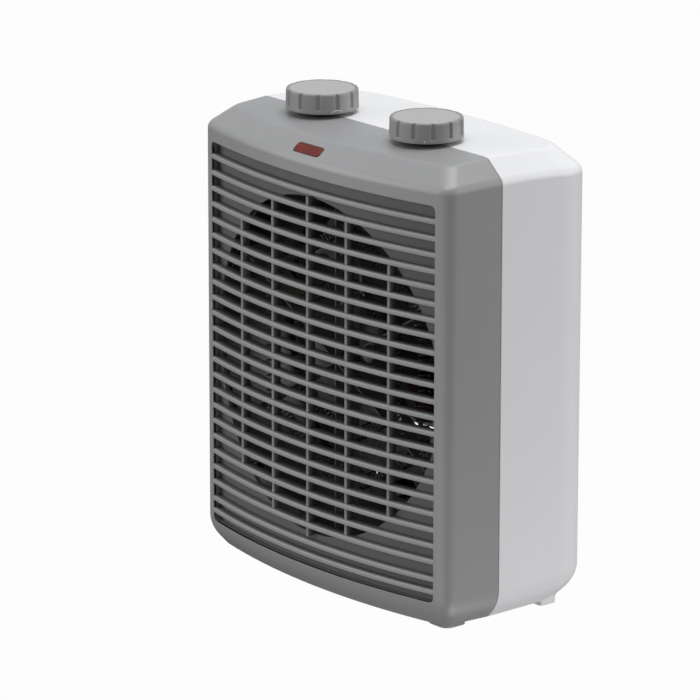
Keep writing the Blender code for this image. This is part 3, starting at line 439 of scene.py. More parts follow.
# ---------- case skins
def half_outline(way, inset, side_steps, corner_steps, bow_steps, close_y):
    """Plan of half the case, from its right mating edge round to its left one.

    way is -1 for the front half and 1 for the rear half.
    """
    apex, corner, draft = FRONT_Y, FRONT_CORNER, FRONT_DRAFT
    if way > 0:
        apex, corner, draft = REAR_Y, REAR_CORNER, REAR_DRAFT
    lean = math.atan(draft)
    bow_centre = apex - way * BOW_RADIUS
    bow = BOW_RADIUS - inset
    side = HALF_WIDTH - inset
    start_x = side - corner / math.cos(lean)
    a = 1 + draft**2
    b = -2 * draft * start_x + 2 * (PARTING_Y - bow_centre) * way
    c = start_x**2 + (PARTING_Y - bow_centre) ** 2 - (bow - corner) ** 2
    run = (-b + math.sqrt(b * b - 4 * a * c)) / (2 * a)
    centre = (start_x - draft * run, PARTING_Y + way * run)
    first = way * lean
    last = math.atan2(centre[1] - bow_centre, centre[0])
    corner_start = centre[1] + corner * math.sin(first)
    points = []
    for i in range(side_steps):
        y = close_y + (corner_start - close_y) * i / side_steps
        points.append((side - draft * way * (y - PARTING_Y), y))
        if i == 0:
            y = close_y + way * EDGE_BREAK
            points.append((side - draft * way * (y - PARTING_Y), y))
    for i in range(corner_steps + 1):
        angle = first + (last - first) * i / corner_steps
        points.append((centre[0] + corner * math.cos(angle), centre[1] + corner * math.sin(angle)))
    half_bow = bow_steps // 2
    for i in range(1, half_bow):
        angle = last + (way * math.pi / 2 - last) * i / half_bow
        points.append((bow * math.cos(angle), bow_centre + bow * math.sin(angle)))
    return points + [(0.0, apex - way * inset)] + [(-x, y) for x, y in reversed(points)]


def fall(way, y):
    """How far the top lies below its height at the parting line."""
    run = abs(y - PARTING_Y)
    return FRONT_FALL * run if way < 0 else REAR_CROWN * run**2


def case_section(way):
    """Vertical section of the case's skin, from below to above.

    Each point is (outward, height, share of the top's fall).
    """
    low, high = GROUND_Z + FOOT, TOP_Z
    corners = [(-UNDERSIDE_INSET, low), (-BOTTOM_CHAMFER[0], low), (0.0, low + BOTTOM_CHAMFER[1])]
    corners += [(0.0, CREASE_Z), (-TOP_CHAMFER, high), (-TOP_INSET, high)]
    path = rounded_path(corners, CREASE_RADII, 8)
    at_crease = FRONT_CREASE_SHARE if way < 0 else 1.0
    section = []
    for i, point in enumerate(path):
        up_the_band = min(1.0, -point.x / TOP_CHAMFER)
        share = at_crease + (1.0 - at_crease) * up_the_band
        section.append((point.x, point.y, 0.0 if i < len(path) // 2 else share))
    return section


def case_skin(name, way, side_steps, corner_steps, bow_steps):
    """The skin of half the case as one sheet, open at the parting plane, with a wall thickness."""
    section = case_section(way)
    close_y = PARTING_Y + way * MATING_GAP
    bm = bmesh.new()
    rings = []
    for i, (out, height, share) in enumerate(section):
        before, after = section[max(0, i - 1)], section[min(len(section) - 1, i + 1)]
        tangent = Vector((after[0] - before[0], after[1] - before[1])).normalized()
        plan = half_outline(way, -out, side_steps, corner_steps, bow_steps, close_y)
        ring = []
        for j, (x, y) in enumerate(plan):
            z = height - share * fall(way, y)
            if j in (0, len(plan) - 1):
                x -= math.copysign(EDGE_BREAK * tangent.y, x)
                z += EDGE_BREAK * tangent.x
            ring.append(bm.verts.new((x, y, z)))
        rings.append(ring)
    count = len(rings[0])
    for near, far in zip(rings, rings[1:]):
        for i in range(count - 1):
            bm.faces.new((near[i], near[i + 1], far[i + 1], far[i]))
    middle = count // 2
    for ring in (rings[0], rings[-1]):
        for i in range(middle - 1):
            bm.faces.new((ring[i], ring[i + 1], ring[count - 2 - i], ring[count - 1 - i]))
        bm.faces.new((ring[middle - 1], ring[middle], ring[middle + 1]))
    skin = new_object(name, bm)
    thick = skin.modifiers.new("wall", "SOLIDIFY")
    thick.thickness = WALL
    thick.offset = -1.0
    thick.use_even_offset = True
    return shaped(skin, [])


def front_y(x, depth=0.0):
    return FRONT_Y + BOW_RADIUS - math.sqrt(BOW_RADIUS**2 - x * x) + depth


def rear_y(x, depth=0.0):
    return REAR_Y - BOW_RADIUS + math.sqrt(BOW_RADIUS**2 - x * x) - depth


def grille_outline(grow):
    half_h = (GRILLE_HIGH - GRILLE_LOW) / 2
    return rounded_rectangle(GRILLE_HALF, half_h, GRILLE_CORNER, grow, 40)


def on_grille(a, b, depth):
    return (a, front_y(a, depth), (GRILLE_HIGH + GRILLE_LOW) / 2 + b)


def band_frame():
    """Centre of the lamp window on the slanted band, and the band's up and outward ways."""
    front = front_y(LENS_X)
    back = front + TOP_CHAMFER
    low = Vector((LENS_X, front, CREASE_Z - FRONT_CREASE_SHARE * fall(-1, front)))
    high = Vector((LENS_X, back, TOP_Z - fall(-1, back)))
    up = (high - low).normalized()
    return low.lerp(high, LENS_PLACE), up, Vector((0, -up.z, up.y))


BAND_CENTRE, BAND_UP, BAND_OUT = band_frame()


def on_band(a, b, depth):
    return BAND_CENTRE + Vector((a, 0, 0)) + BAND_UP * b - BAND_OUT * depth


def lens_outline(grow):
    return rounded_rectangle(LENS_SIZE[0] / 2, LENS_SIZE[1] / 2, LENS_CORNER, grow)


def feet(name, place, radii, material, slot):
    """A pair of moulded feet with soft lower edges. radii are those of their front and rear corners."""
    inner, outer, front, back = place
    front_radius, rear_radius = radii
    middle_x, middle_y = (inner + outer) / 2, (front + back) / 2
    bm = bmesh.new()
    for side in (-1, 1):
        rings = []
        for lift, inset in FOOT_STAGES:
            half_w = (outer - inner) / 2 - inset
            half_d = (back - front) / 2 - inset
            corners = [(0.0, half_d), (half_w, half_d), (half_w, -half_d)]
            corners += [(-half_w, -half_d), (-half_w, half_d), (-0.001, half_d)]
            path = rounded_path(corners, (rear_radius, front_radius, front_radius, rear_radius), 6)
            rings.append([(side * middle_x + p.x, middle_y + p.y, GROUND_Z + lift) for p in path])
        add_rings(bm, rings)
    finish_piece(new_object(name, bm), material, slot)


def shaft_notches():
    """Cutter for the round holes under the knobs, which the parting plane splits."""
    bm = bmesh.new()
    for x in (-KNOB_X, KNOB_X):
        levels = [(TOP_Z - 0.006, SHAFT_HOLE), (TOP_Z + 0.004, SHAFT_HOLE)]
        add_turned(bm, "Z", levels, (x, PARTING_Y), 40)
    return bm


def front_shell():
    skin = case_skin("front_shell", -1, *FRONT_STEPS)
    opening = bmesh.new()
    add_flared(opening, grille_outline, on_grille, 0.0100)
    window = bmesh.new()
    add_flared(window, lambda grow: lens_outline(grow + LENS_GAP), on_band, 0.0080, 0.0003)
    cut(skin, opening, window, shaft_notches())
    finish_piece(skin, GREY, "grey_plastic", replaces=["front_cover"])

    feet("front_feet", FRONT_FOOT, (0.0050, 0.0010), GREY, "grey_plastic")


def outlet_wall():
    """The blank wall behind the slats, its return sides and its round hole."""

    def slab(grow, depths):
        made = bmesh.new()
        outline = grille_outline(grow)
        add_rings(made, [[on_grille(a, b, depth) for a, b in outline] for depth in depths], ladder=True)
        return made

    wall = new_object("outlet_wall", slab(0.002, (0.0010, BLANK_BACK)))
    recess = slab(0.0, (-0.002, BLANK_FRONT))
    hole = bmesh.new()
    add_turned(hole, "Y", [(FRONT_Y - 0.01, OUTLET_RADIUS), (PARTING_Y, OUTLET_RADIUS)], (0, AXIS_Z), 128)
    cut(wall, recess, hole)
    finish_piece(wall, OUTLET_GREY, "grey_plastic")


def slat_bottoms():
    heights = [TOP_SLAT, TOP_SLAT - FIRST_STEP]
    while len(heights) < SLAT_COUNT - len(LAST_STEPS):
        heights.append(heights[-1] - SLAT_PITCH)
    for step in LAST_STEPS:
        heights.append(heights[-1] - step)
    return heights


def slat_section():
    """Section of a slat as (depth, height) pairs: a crowned face, and sides that draft to the back."""
    half = SLAT_HEIGHT / 2
    corners = [(SLAT_DEPTH, -half + SLAT_DRAFT), (0.00035, -half), (0.0002, 0.0)]
    corners += [(0.0004, half), (SLAT_DEPTH, half - SLAT_DRAFT)]
    return [(p.x, p.y + half) for p in rounded_path(corners, (0.0004, 0.006, 0.0012), 5)]


def grille():
    section = slat_section()
    stations = [(GRILLE_HALF + ROOT) * (i / 32 - 1) for i in range(65)]
    bm = bmesh.new()
    for low in slat_bottoms():
        add_rings(bm, [[(x, front_y(x, depth), low + z) for depth, z in section] for x in stations])
    finish_piece(new_object("grille_slats", bm), GRILLE_GREY, "grey_plastic")

    bm = bmesh.new()
    for i in range(-2, 3):
        x = RIB_PITCH * i
        reach = math.sqrt(OUTLET_RADIUS**2 - x * x) + ROOT
        front = front_y(x, RIB_FRONT)
        back = front + RIB_DEPTH
        corners = ((-0.0008, back), (-RIB_HALF, front), (RIB_HALF, front), (0.0008, back))
        section = rounded_path(corners, (0.0006, 0.0006), 4)
        levels = (AXIS_Z - reach, AXIS_Z + reach)
        add_rings(bm, [[(x + p.x, p.y, z) for p in section] for z in levels])
    finish_piece(new_object("grille_ribs", bm), GRILLE_GREY, "grey_plastic")


# ---------- rear shell
SLOT_ROWS = 12
SLOT_PITCH = 0.0115
SLOT_FIRST = 0.0600
SLOT_HALF = (0.0215, 0.0026)
SLOT_CORNER = 0.0022
COLUMN_PITCH = 0.048
CUT_DEPTH = 0.006
CORD_HOLE = 0.0060
# Screw wells as (x, z), and their bosses. The screws' heads sit that far behind the parting plane.
WELLS = ((-0.089, 0.030), (0.089, 0.030), (-0.086, 0.243), (0.086, 0.243))
WELL_RADIUS = 0.0042
BOSS_RADIUS = 0.0060
BOSS_BORE = 0.0019
SCREW_SEAT = 0.0063
SEAT_GAP = 0.0003
# The finger recess: half width, half height, middle height and depth.
RECESS = (0.0500, 0.0120, 0.2200, 0.0195)


def on_rear(cx, cz):
    return lambda a, b, depth: (cx + a, rear_y(cx + a, depth), cz + b)


def flat_rear(cx, cz, y):
    return lambda a, b, depth: (cx + a, y - depth, cz + b)


def rear_shell():
    skin = case_skin("rear_shell", 1, *REAR_STEPS)
    slots = bmesh.new()
    for column in (-1, 0, 1):
        for row in range(SLOT_ROWS):
            place = on_rear(COLUMN_PITCH * column, SLOT_FIRST + SLOT_PITCH * row + SLOT_HALF[1])
            add_flared(slots, slot_outline, place, CUT_DEPTH, 0.0004)
    recess = bmesh.new()
    add_flared(recess, recess_outline, on_rear(0.0, RECESS[2]), CUT_DEPTH, 0.0012)
    holes = bmesh.new()
    bush_low, bush_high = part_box("cord_bush")
    inlet = ((bush_low.x + bush_high.x) / 2, (bush_low.z + bush_high.z) / 2)
    add_flared(holes, inlet_outline, on_rear(*inlet), CUT_DEPTH, 0.0003)
    for x, z in WELLS:
        add_flared(holes, well_outline, flat_rear(x, z, well_mouth(x)), 0.012, 0.0005, 0.012)
    cut(skin, slots, recess, holes, shaft_notches())
    finish_piece(skin, WHITE, "white_plastic", replaces=["rear_housing"])

    feet("rear_feet", REAR_FOOT, (0.0012, 0.0025), WHITE, "white_plastic")
    carry_recess()
    screw_bosses()


def slot_outline(grow):
    return rounded_rectangle(*SLOT_HALF, SLOT_CORNER, grow, 6, 4)


def recess_outline(grow, corner=0.004):
    return rounded_rectangle(RECESS[0], RECESS[1], corner, grow, 14)


def inlet_outline(grow):
    return circle(CORD_HOLE + grow, 40, math.pi / 40)


def well_outline(grow):
    return circle(WELL_RADIUS + grow, 32, math.pi / 32)


def carry_recess():
    """The pocket for the fingers, whose rim follows the bowed rear wall."""
    middle, depth = RECESS[2:]
    back = REAR_Y - depth
    inner = recess_outline(0.0)
    outer = recess_outline(0.002)
    shrunk = recess_outline(-0.002, 0.005)

    def flat(pairs, y):
        return [(a, y, middle + b) for a, b in pairs]

    def follow(pairs, deep):
        return [(a, rear_y(a, deep), middle + b) for a, b in pairs]

    bm = bmesh.new()
    rings = [flat(shrunk, back), flat(inner, back + 0.002)]
    rings += [follow(inner, 0.0010), follow(outer, 0.0012), flat(outer, back - 0.002)]
    add_rings(bm, rings)
    finish_piece(new_object("carry_recess", bm), WHITE, "white_plastic")


def screw_bosses():
    bm = bmesh.new()
    near = PARTING_Y + 0.0004
    seat = PARTING_Y + SCREW_SEAT - SEAT_GAP
    for x, z in WELLS:
        end = well_mouth(x) - 0.003
        walls = [(seat, BOSS_BORE), (seat, WELL_RADIUS), (end, WELL_RADIUS + 0.0002)]
        walls += [(end, BOSS_RADIUS), (near, BOSS_RADIUS), (near, BOSS_BORE)]
        add_turned(bm, "Y", walls, (x, z), 28, closed=True)
    finish_piece(new_object("screw_bosses", bm), WHITE, "white_plastic")


def well_mouth(x):
    """Where the rear skin is beside a screw well, round the corner from the bowed wall."""
    plan = half_outline(1, 0.0, *REAR_STEPS, PARTING_Y)
    right = [(px, py) for px, py in plan if px > 0 and py > PARTING_Y + 0.04]
    return min(right, key=lambda p: abs(p[0] - abs(x)))[1]


# ---------- knobs and window
KNOB_TOP_RADIUS = KNOB_RADIUS - 0.0003
KNOB_HEIGHT = KNOB_HIGH.z - KNOB_LOW.z
# The plain skirt's height, and how deep the flutes above it are.
SKIRT = 0.0021
FLUTE_DEPTH = 0.0013
# Printed marks: their places round the knob, the arc's half width, and half the line's width.
TICK_ANGLE = math.radians(-43)
ARC_ANGLE = math.radians(-15)
ARC_HALF = math.radians(9)
MARK_HALF = 0.00014


def knob(name, x, body, mark, turn):
    """A fluted knob: the flutes stop above a plain skirt, and a thin rim stands round the top disc."""

    def add(part, bm, material, **options):
        made = new_object(name.replace("_cap", part), bm)
        made.location = (x, PARTING_Y, KNOB_LOW.z)
        finish_piece(made, material, "knob_plastic", body, **options)

    replaced = [name.replace("_cap", "_knob")]
    add("_cap", knob_cap(turn), KNOB_GREY, replaces=replaced, sharp=40)
    top = KNOB_TOP_RADIUS
    disc = [(-0.00048, top - 0.0019), (-0.0003, top - 0.0019), (-0.00022, top - 0.0020)]
    disc += [(-0.0002, top - 0.0022), (-0.00016, 0.0100), (-0.00012, 0.0020)]
    bm = bmesh.new()
    add_turned(bm, "Z", [(KNOB_HEIGHT + lift, radius) for lift, radius in disc], steps=96)
    add("_disc", bm, KNOB_TOP)
    add("_mark", knob_mark(mark), MARK, weighted=False)


def knob_cap(turn):
    """The knob's body round its own axis. Each level is (height, radius, depth of the flutes)."""
    steps = FLUTES * 20
    wide, top, height = KNOB_RADIUS, KNOB_TOP_RADIUS, KNOB_HEIGHT
    under = [(0.0020, 0.0036, 0.0), (0.0020, wide - 0.0034, 0.0)]
    skirt = [
        (0.0000, wide - 0.0030, 0.0),
        (0.0000, wide - 0.0004, 0.0),
        (0.0001, wide - 0.0001, 0.0),
        (0.0004, wide, 0.0),
        (SKIRT - 0.0002, wide - 0.00003, 0.0),
    ]
    fluted = [
        (SKIRT, wide - 0.00006, 0.0001),
        (SKIRT + 0.00015, wide - 0.00008, FLUTE_DEPTH - 0.0001),
        (SKIRT + 0.0003, wide - 0.0001, FLUTE_DEPTH),
        (height - 0.0012, top, FLUTE_DEPTH),
        (height - 0.0007, top - 0.00008, FLUTE_DEPTH - 0.0001),
        (height - 0.0003, top - 0.0003, 0.0010),
        (height - 0.0001, top - 0.0006, 0.0008),
        (height, top - 0.0009, 0.0006),
        (height, top - 0.0013, 0.0004),
        (height - 0.0002, top - 0.0017, 0.0002),
    ]
    disc_seat = [
        (height - 0.0004, top - 0.0018, 0.0),
        (height - 0.0005, top - 0.0022, 0.0),
        (height - 0.0005, 0.0030, 0.0),
    ]
    rings = []
    for z, radius, depth in under + skirt + fluted + disc_seat:
        ring = []
        for i in range(steps):
            angle = 2 * math.pi * i / steps
            off = ((angle - turn) * FLUTES / (2 * math.pi) + 0.5) % 1.0 - 0.5
            at = radius - depth * max(0.0, 1 - (off / FLUTE_HALF) ** 2)
            ring.append((at * math.cos(angle), at * math.sin(angle), z))
        rings.append(ring)
    bm = bmesh.new()
    add_rings(bm, rings)
    return bm


def knob_mark(kind):
    """A printed line on the skirt: upright for a tick, arched for an arc."""
    if kind == "tick":
        stroke = [(TICK_ANGLE, 0.0006 + 0.0003 * i) for i in range(6)]
    else:
        turns = [math.radians(a) for a in range(0, 181, 15)]
        stroke = [(ARC_ANGLE + ARC_HALF * math.cos(a), 0.0008 + 0.0014 * math.sin(a)) for a in turns]
    outer = KNOB_RADIUS + 0.00004
    rails = []
    for i, (angle, z) in enumerate(stroke):
        a0, z0 = stroke[max(0, i - 1)]
        a1, z1 = stroke[min(len(stroke) - 1, i + 1)]
        along = Vector(((a1 - a0) * outer, z1 - z0)).normalized()
        side = Vector((-along.y, along.x)) * MARK_HALF
        rail = []
        for sign, lift in ((-1, -0.0001), (1, -0.0001), (1, 0.00004), (-1, 0.00004)):
            at = angle + sign * side.x / outer
            rail.append(((outer + lift) * math.cos(at), (outer + lift) * math.sin(at), z + sign * side.y))
        rails.append(rail)
    bm = bmesh.new()
    add_rings(bm, rails)
    return bm


def collar(node, x):
    """A flanged black ring under a knob, with the shaft's hole through it. Seen through the gap under the
    knob, its black is partly painted shade for the shadow there.
    """
    low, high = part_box(node)
    neck, flange, bore = SHAFT_HOLE - 0.0003, 0.0150, 0.0042
    seat = TOP_Z + 0.0003
    profile = [(low.z, neck), (seat, neck), (seat, flange), (high.z - 0.0003, flange)]
    profile += [(high.z, flange - 0.0004), (high.z, bore + 0.0002)]
    profile += [(high.z - 0.0003, bore), (low.z, bore)]
    bm = bmesh.new()
    add_turned(bm, "Z", profile, (x, PARTING_Y), 64, closed=True)
    finish_piece(new_object(node + "_ring", bm), BLACK, "black_plastic", replaces=[node])


def window():
    bm = bmesh.new()
    stages = ((0.0042, 0.0), (0.0002, 0.0), (0.0000, -0.0001), (-0.0002, -0.0004), (-0.0003, -0.0012))
    add_rings(bm, [[on_band(a, b, depth) for a, b in lens_outline(grow)] for depth, grow in stages])
    finish_piece(new_object("lamp_window", bm), RED, "red_lens", replaces=["indicator_lens"])
    bm = bmesh.new()
    rings = []
    for depth, grow in ((0.0030, 0.00028), (0.0006, 0.00028), (0.0006, 0.00002), (0.0030, 0.00002)):
        rings.append([on_band(a, b, depth) for a, b in lens_outline(grow)])
    add_rings(bm, rings, closed=True)
    finish_piece(new_object("window_gasket", bm), BLACK, "black_plastic")


# ---------- air path
DRUM_RADII = (0.1002, 0.0990)
SHEET = 0.0012
BLADE_GAP = 0.0043
# Drum lugs: how far out their screws are, the round ends' radius, and the distance behind the front rim.
LUG_REACH = 0.1100
LUG_END = 0.0052
LUG_PLACE = 0.0090


def drum():
    """A sheet-metal drum, with a rolled orifice round the fan and four screwed lugs."""
    bm = bmesh.new()
    outer, inner = DRUM_RADII
    y0, y1 = SHROUD_LOW.y, SHROUD_HIGH.y
    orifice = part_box("fan_impeller")[1].x + BLADE_GAP
    profile = [(y0, outer), (y1 - 0.003, outer), (y1 - 0.0009, outer - 0.0009), (y1, outer - 0.003)]
    profile += [(y1, orifice + 0.0005), (y1 - SHEET / 2, orifice), (y1 - SHEET, orifice + 0.0005)]
    profile += [(y1 - SHEET, inner - 0.002), (y1 - 0.0020, inner - 0.0004), (y1 - 0.0034, inner)]
    profile += [(y0 + 0.0002, inner), (y0, inner + 0.0002)]
    add_turned(bm, "Y", profile, (0, AXIS_Z), 128, closed=True)
    made = new_object("drum", bm)
    steps = []
    lug_y = y0 + LUG_PLACE
    turns = [math.radians(t) for t in range(75, -76, -25)]
    outline = [(0.0996, -0.007), (0.0996, 0.007), (0.1085, 0.0058)]
    outline += [(LUG_REACH + LUG_END * math.cos(t), LUG_END * math.sin(t)) for t in turns]
    outline += [(0.1085, -0.0058)]
    for sx, sz in ((-1, -1), (-1, 1), (1, -1), (1, 1)):
        away = Vector((sx, 0, sz)).normalized()
        side = Vector((-away.z, 0, away.x))
        rings = []
        for y in (lug_y, lug_y + SHEET):
            rings.append([Vector((0, y, AXIS_Z)) + away * out + side * run for out, run in outline])
        lug = bmesh.new()
        add_rings(lug, rings)
        hole = bmesh.new()
        centre = (away.x * LUG_REACH, AXIS_Z + away.z * LUG_REACH)
        add_turned(hole, "Y", [(lug_y - 0.002, 0.0020), (lug_y + 0.004, 0.0020)], centre, 24)
        steps += [("UNION", lug), ("DIFFERENCE", hole)]
    shaped(made, steps)
    finish_piece(made, DRUM, "galvanised_steel", replaces=["fan_shroud"])


# Heating element: each coil's reach and turns, its wire, and how much of its loop it fills.
INNER_COIL = (0.0480, 96)
OUTER_COIL = (0.0780, 156)
WIRE_RADIUS = 0.00042
STEPS_PER_TURN = 18
LOOP_SHARE = 0.985
BOARD_HALF = 0.0005
BOARD_HOLE = 0.0046
RIVET_REACHES = (0.0330, 0.0620, 0.0890)
RIVET_EDGE = 0.0035
# A rivet's section along its axis: places from the board's middle, and radii.
RIVET_HEAD = ((-0.0011, 0.0008), (-0.0009, 0.0013), (-0.0005, 0.0014))
RIVET = RIVET_HEAD + tuple((-lift, radius) for lift, radius in RIVET_HEAD[::-1])


def arm(index):
    """Outward way of one of the element's six arms."""
    angle = math.radians(60 * index) + math.pi / 2
    return Vector((math.cos(angle), 0, math.sin(angle)))


def hexagon_point(reach, share):
    """A point on a six-sided loop round the fan's axis, and the way along it; share runs from 0 to 1."""
    side = share * 6
    index = int(side) % 6
    p0, p1 = arm(index) * reach, arm(index + 1) * reach
    return p0.lerp(p1, side - int(side)), (p1 - p0).normalized()


def heater_coil(name, node, reach, turns):
    """One coil of round wire strung from board to board in a six-sided loop."""
    low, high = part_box(node)
    middle = Vector((0, (low.y + high.y) / 2, AXIS_Z))
    coil_radius = (high.y - low.y) / 2 - 0.0003
    total = turns * STEPS_PER_TURN
    loop = [hexagon_point(reach, LOOP_SHARE * i / total) for i in range(total + 1)]
    points = []
    for i, (centre, along) in enumerate(loop):
        outward = Vector((0, 1, 0)).cross(along)
        angle = 2 * math.pi * i / STEPS_PER_TURN
        swing = outward * coil_radius * math.cos(angle) + Vector((0, coil_radius * math.sin(angle), 0))
        points.append(centre + middle + swing)
    rings = []
    for i, (point, (centre, _)) in enumerate(zip(points, loop)):
        tangent = (points[min(total, i + 1)] - points[max(0, i - 1)]).normalized()
        radial = (point - centre - middle).normalized()
        binormal = tangent.cross(radial).normalized()
        rings.append([point + (radial * a + binormal * b) for a, b in circle(WIRE_RADIUS, 6)])
    bm = bmesh.new()
    add_rings(bm, rings)
    finish_piece(new_object(name, bm), WIRE, "nichrome", replaces=[node], weighted=False)


def mica_board(index, y0, y1, reach):
    """A board across the whole element, with a round hole wherever a coil passes through it."""
    out = arm(index)
    side = Vector((-out.z, 0, out.x)) * BOARD_HALF
    profile = [(-reach, y0), (reach, y0), (reach, y1), (-reach, y1)]
    faces = []
    for way in (-1, 1):
        faces.append([out * a + Vector((0, b, AXIS_Z)) + side * way for a, b in profile])
    board = bmesh.new()
    add_rings(board, faces)
    holes = bmesh.new()
    for coil_reach, _ in (INNER_COIL, OUTER_COIL):
        for sign in (-1, 1):
            centre = out * coil_reach * sign + Vector((0, (y0 + y1) / 2, AXIS_Z))
            rim = [centre + out * a + Vector((0, b, 0)) for a, b in circle(BOARD_HOLE, 28)]
            add_rings(holes, [[at + side * 4 * way for at in rim] for way in (-1, 1)])
    piece = new_object(f"mica_board_{index + 1}", board)
    cut(piece, holes)
    finish_piece(piece, MICA, "mica", replaces=["mica_frame"] if index == 0 else ())


def element():
    heater_coil("inner_heating_coil", "inner_coil", *INNER_COIL)
    heater_coil("outer_heating_coil", "outer_coil", *OUTER_COIL)
    board_low, board_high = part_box("mica_frame")
    y0, y1 = board_low.y, board_high.y
    for i in range(3):
        mica_board(i, y0, y1, board_high.z - AXIS_Z)
    bm = bmesh.new()
    for i in range(6):
        out = arm(i)
        side = Vector((-out.z, 0, out.x))
        for reach in RIVET_REACHES:
            for y in (y0 + RIVET_EDGE, y1 - RIVET_EDGE):
                base = out * reach + Vector((0, y, AXIS_Z))
                rings = []
                for lift, radius in RIVET:
                    at = base + side * lift
                    rings.append([at + out * a + Vector((0, b, 0)) for a, b in circle(radius, 14)])
                add_rings(bm, rings)
    finish_piece(new_object("board_rivets", bm), SCREW_STEEL, "zinc_steel")


# Fan: number of blades, hub and tip radii, and each blade's pitch, half chord, camber and thickness.
BLADES = 5
BLADE_ROOT = 0.0190
BLADE_TIP = 0.0866
BLADE_PITCH = (52, 26)
HALF_CHORD = (0.0115, 0.0220)
TIP_ROUNDING = 0.14
CAMBER = 0.00132
EDGE_HALF = 0.00015
MIDDLE_HALF = 0.00080


def blade_ring(share, y_mid):
    """Section of a blade wrapped round the axis; share runs from 0 at the hub to 1 at the tip."""
    radius = BLADE_ROOT + (BLADE_TIP - BLADE_ROOT) * share
    pitch = math.radians(BLADE_PITCH[0] + (BLADE_PITCH[1] - BLADE_PITCH[0]) * share)
    past = max(0.0, (share - 1 + TIP_ROUNDING) / TIP_ROUNDING)
    rounding = math.sqrt(max(0.04, 1 - past**2 * 0.75))
    chord = (HALF_CHORD[0] + (HALF_CHORD[1] - HALF_CHORD[0]) * share) * rounding
    ring = []
    for side, order in ((1, range(13)), (-1, range(12, -1, -1))):
        for k in order:
            t = k / 6 - 1
            bulge = 1 - t * t
            off = CAMBER * bulge + side * (EDGE_HALF + (MIDDLE_HALF - EDGE_HALF) * bulge)
            angle = (t * chord * math.cos(pitch) - off * math.sin(pitch)) / radius
            axial = t * chord * math.sin(pitch) + off * math.cos(pitch)
            x, z = radius * math.sin(angle), radius * math.cos(angle)
            ring.append(Vector((x, y_mid + axial, AXIS_Z + z)))
    return ring


def fan():
    """The impeller: a domed hub and five cambered, twisted blades with round tips."""
    y_mid = PARTING_Y + 0.0110
    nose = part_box("fan_impeller")[0].y
    rim = y_mid + 0.0090
    seat = y_mid + 0.0080
    outside = [(0.0, 0.0030), (0.0, 0.0110), (0.0005, 0.0135)]
    outside += [(0.0018, 0.0165), (0.0035, 0.0184), (0.0060, 0.0195)]
    inside = [(0.0070, 0.0178), (0.0035, 0.0150), (0.0025, 0.0060)]
    hub = [(nose + back, radius) for back, radius in outside]
    hub += [(rim - 0.0002, 0.0208), (rim, 0.0205), (rim, 0.0190), (rim - 0.0004, 0.0186)]
    hub += [(nose + back, radius) for back, radius in inside]
    hub += [(seat, 0.0050), (seat, 0.0020), (nose + 0.0002, 0.0020)]
    bm = bmesh.new()
    add_turned(bm, "Y", hub, (0, AXIS_Z), 72, closed=True)
    axis = Vector((0, 0, AXIS_Z))
    for i in range(BLADES):
        turn = Matrix.Rotation(2 * math.pi * i / BLADES, 3, "Y")
        rings = [blade_ring(step / 24, y_mid) for step in range(25)]
        add_rings(bm, [[axis + turn @ (at - axis) for at in ring] for ring in rings])
    made = new_object("fan_wheel", bm)
    finish_piece(made, DARK, "black_plastic", "fan", replaces=["fan_impeller"])


# Case screws: head radius and height, shank radius and length, and a slot's half length and width.
HEAD = (0.0034, 0.0024)
SHANK = (0.0014, 0.017)
CROSS = (0.0019, 0.00035)
CROSS_DEPTH = 0.0014


def case_screws():
    """Pan-head screws along Y, with their heads to the rear, and two crossing slots in each head."""
    names = ("lower_left", "lower_right", "upper_left", "upper_right")
    seat = PARTING_Y + SCREW_SEAT
    radius, height = HEAD
    shank, length = SHANK
    top = seat + height + 0.0002
    profile = []
    for i in range(5, 0, -1):
        angle = math.radians(18 * i)
        rise, reach = 0.35 + 0.65 * math.sin(angle), 0.35 + 0.65 * math.cos(angle)
        profile.append((seat + height * rise, radius * reach))
    profile += [(seat, radius), (seat, shank), (seat - length, shank), (seat - length - 0.002, 0.0003)]
    for name, (x, z) in zip(names, WELLS):
        bm = bmesh.new()
        add_turned(bm, "Y", profile, (x, z), 32)
        slots = []
        for a, b in (CROSS, CROSS[::-1]):
            corners = ((-a, -b), (a, -b), (a, b), (-a, b))
            mouth = [(x + dx, top, z + dz) for dx, dz in corners]
            foot = [(x + dx * 0.6, seat + height - CROSS_DEPTH, z + dz * 0.6) for dx, dz in corners]
            slot = bmesh.new()
            add_rings(slot, [mouth, foot])
            slots.append(slot)
        made = new_object(name + "_fixing", bm)
        cut(made, *slots)
        finish_piece(made, SCREW_STEEL, "zinc_steel", replaces=[name + "_case_screw"])


def carried_over():
    """CAD pieces that keep their shape: each gets its finish and broken edges."""
    steel = [n for n in frame["nodes"] if n.endswith("_screw") and "_case_" not in n]
    steel += ["thermal_fuse", "thermal_cutout", "fan_shaft", "fan_clip"]
    steel += ["left_motor_spacer", "right_motor_spacer"]
    brass = ["selector_shaft", "thermostat_shaft", "bimetal_blade"]
    brass += ["front_bearing_bush", "rear_bearing_bush"]
    finishes = {
        ZINC: ["control_bracket", "motor_strap", "front_bearing_bracket", "rear_bearing_bracket"],
        SCREW_STEEL: steel,
        BRASS: brass,
        BLACK: ["selector_switch", "cord_bush"],
        NYLON: ["thermostat_body", "cord_clamp", "terminal_block"],
        LAMINATIONS: ["motor_core", "motor_rotor"],
        WINDING: ["motor_coil"],
        GLASS: ["neon_lamp"],
    }
    for finish, names in finishes.items():
        for name in names:
            node = frame["nodes"][name]
            if not node.material_slots:
                node.data.materials.append(finish)
            for slot in node.material_slots:
                slot.material = finish
            low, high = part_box(name)
            edge = node.modifiers.new("broken_edges", "BEVEL")
            edge.width = min(0.0004, 0.2 * min(high - low))
            edge.segments = 2
            edge.limit_method = "ANGLE"
            edge.angle_limit = math.radians(50)
            edge.harden_normals = False


